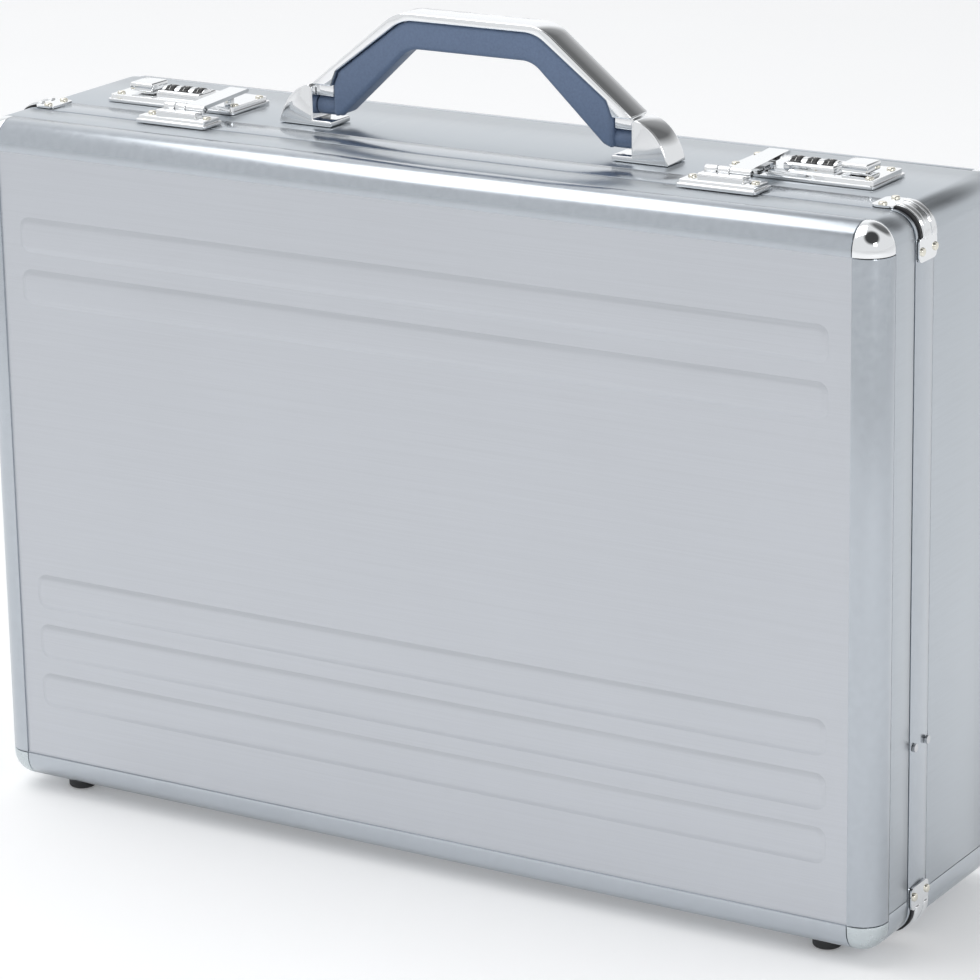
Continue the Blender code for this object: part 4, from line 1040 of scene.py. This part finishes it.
def flap_at_right():
    middle = (flap_low.x + flap_high.x) / 2
    top = BARREL_Z + BARREL_RADIUS
    tip, rise, sheet = BARREL_Y + 34.7 * MM, 1.5 * MM, 1.7 * MM
    outline = [(BARREL_Y, top - sheet, 0.0), (tip - 0.8 * MM, top - sheet + rise, 0.4 * MM),
               (tip, top + rise - 0.8 * MM, 0.4 * MM), (tip - 1.0 * MM, top + rise, 0.4 * MM),
               (BARREL_Y, top, 0.0)]
    leaf = plate("flap", rounded(outline), flap_high.x - flap_low.x, (middle, 0.0, 0.0), "X")
    knuckle = rod("knuckle", (middle, BARREL_Y, BARREL_Z), BARREL_RADIUS, flap_high.x - flap_low.x, sides=40)
    join(leaf, knuckle)
    hook = block("hook", (middle - HOOK_HALF, HOOK_FRONT, HIGH_Z + 1.8 * MM),
                 (middle + HOOK_HALF, HOOK_BACK, top - 0.2 * MM))
    join(leaf, hook)
    bore = rod("bore", (middle, BARREL_Y, BARREL_Z), 1.2 * MM, 14 * MM, sides=24)
    cut(leaf, bore)
    return soften(leaf, 0.35 * MM, 3, angle=50)


hasp, hasp_heads, flap = hasp_at_right(), hasp_rivets(), flap_at_right()
for side in SIDES:
    shift = Vector((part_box(f"hasp_{side}")[0].x - hasp_low.x, 0.0, 0.0))
    for source, kind, body, finish, node in ((hasp, "hasp_plate", "lid", CHROME, f"hasp_{side}"),
                                             (hasp_heads, "hasp_rivets", "lid", NICKEL, None),
                                             (flap, "flap_leaf", f"flap_{side}", CHROME,
                                              f"latch_flap_{side}")):
        twin = copy_of(source, f"{kind}_{side}")
        twin.location = shift
        settle(twin)
        complete(twin, body, finish, "chrome", *([node] if node else []))
for spare in (hasp, hasp_heads, flap):
    bpy.data.objects.remove(spare, do_unlink=True)
print("hasps and flaps done")

# %% [markdown]
# ## Feet
# Four short rubber feet, turned with a rounded rim, carry the case on its hinge side.

# %% Feet
for node, body in (("front_foot_left", "lid"), ("front_foot_right", "lid"),
                   ("rear_foot_left", "body"), ("rear_foot_right", "body")):
    low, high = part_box(node)
    centre = (low + high) / 2
    stud = rod(f"{node}_rubber", centre, (high.x - low.x) / 2, high.z - low.z, "Z", 48)
    bevel(stud, 1.4 * MM, 5, edges=lambda a, b: max(a.z, b.z) < low.z + 0.1 * MM)
    complete(stud, body, RUBBER_FINISH, "black_rubber", node)
print("feet done")

# %% [markdown]
# ## What the frame already has right
# The hinge leaves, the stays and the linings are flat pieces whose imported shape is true, so they
# keep it and only take a finish.

# %% Finishes for kept nodes
KEPT = {"body_lining": CLOTH_FINISH, "lid_lining": CLOTH_FINISH, "document_pocket": CLOTH_FINISH,
        "hinge_leaf_body": STEEL, "hinge_leaf_lid": STEEL}
for side in SIDES:
    for kind in ("stay_mount", "stay_body_link", "stay_lid_link"):
        KEPT[f"{kind}_{side}"] = STEEL
for node, finish in KEPT.items():
    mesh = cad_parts[node].data
    mesh.materials.clear()
    mesh.materials.append(finish)
for spare in (extrusion_wall, sheet_wall, tongue_wall):
    bpy.data.objects.remove(spare, do_unlink=True)
print("kept nodes:", len(KEPT))

# %% [markdown]
# ## Floor and light
# A pale floor and large soft lights. Bright metal shows its surroundings, so the surroundings are
# part of the look: a pale room, brighter behind the case, with two dim patches overhead that give
# the chrome and the round edges their darker lines. The floor glows a little, as lit paper does.

# %% Floor
deselect()
bpy.ops.mesh.primitive_plane_add(size=FLOOR_SIZE, location=(0.0, 0.0, -FLOOR_DROP))
floor = bpy.context.active_object
floor.name = "floor"
floor_finish, floor_tree, floor_shader = new_finish("pale_floor", (0.93, 0.93, 0.935), 0.0, 0.85)
dust = grain(floor_tree, (3.0, 3.0, 3.0))
floor_tree.links.new(blend_colours(floor_tree, dust, (0.925, 0.925, 0.93), (0.94, 0.94, 0.945)),
                     floor_shader.inputs["Base Color"])
floor_shader.inputs["Emission Color"].default_value = (1.0, 1.0, 1.0, 1.0)
floor_shader.inputs["Emission Strength"].default_value = FLOOR_GLOW
floor.data.materials.append(floor_finish)
print("floor done")


# %% Lights
def soft_light(name, place, target, size, power, colour=(1.0, 1.0, 1.0)):
    lamp = bpy.data.lights.new(name, "AREA")
    lamp.shape = "RECTANGLE"
    lamp.size, lamp.size_y = size
    lamp.energy = power
    lamp.color = colour
    holder = bpy.data.objects.new(name, lamp)
    bpy.context.scene.collection.objects.link(holder)
    holder.location = place
    holder.rotation_euler = (Vector(target) - Vector(place)).to_track_quat("-Z", "Y").to_euler()
    return holder


AIM = (0.0, 0.0, 0.15)
soft_light("overhead", (-1.15, -0.35, 2.9), AIM, (2.6, 2.2), 34.0)
soft_light("front_right", (1.5, -0.9, 1.0), (0.15, -0.05, 0.25), (0.35, 0.35), 4.0)

world = bpy.data.worlds.new("studio")
bpy.context.scene.world = world
world.use_nodes = True
sky = world.node_tree


def glow(towards, start, end, strength):
    """A bright patch of sky: nothing beyond one angle from its middle, full within another."""
    direction = sky.nodes.new("ShaderNodeTexCoord")
    facing = sky.nodes.new("ShaderNodeVectorMath")
    facing.operation = "DOT_PRODUCT"
    facing.inputs[1].default_value = Vector(towards).normalized()
    sky.links.new(direction.outputs["Generated"], facing.inputs[0])
    return spread(sky, facing.outputs["Value"], 0.0, strength, math.cos(math.radians(start)),
                  math.cos(math.radians(end)))


backdrop = glow((-0.4, 0.88, 0.1), 45, 28, 0.25)
dark_ceiling = glow((0.42, -0.38, 0.82), 34, 24, -0.85)
dark_behind = glow((0.15, 0.75, 0.64), 30, 18, -0.75)
room = sum_of(sky, sum_of(sky, backdrop, dark_ceiling, 1.0), dark_behind, 1.0)
tint = sky.nodes.new("ShaderNodeMix")
tint.data_type = "RGBA"
tint.inputs["A"].default_value = (0.84, 0.85, 0.86, 1.0)
tint.inputs["B"].default_value = (1.76, 1.78, 1.80, 1.0)
tint.clamp_factor = False
tint.clamp_result = False
sky.links.new(room, tint.inputs["Factor"])
sky.links.new(tint.outputs["Result"], sky.nodes["Background"].inputs["Color"])
sky.nodes["Background"].inputs["Strength"].default_value = 1.0
print("lights done")
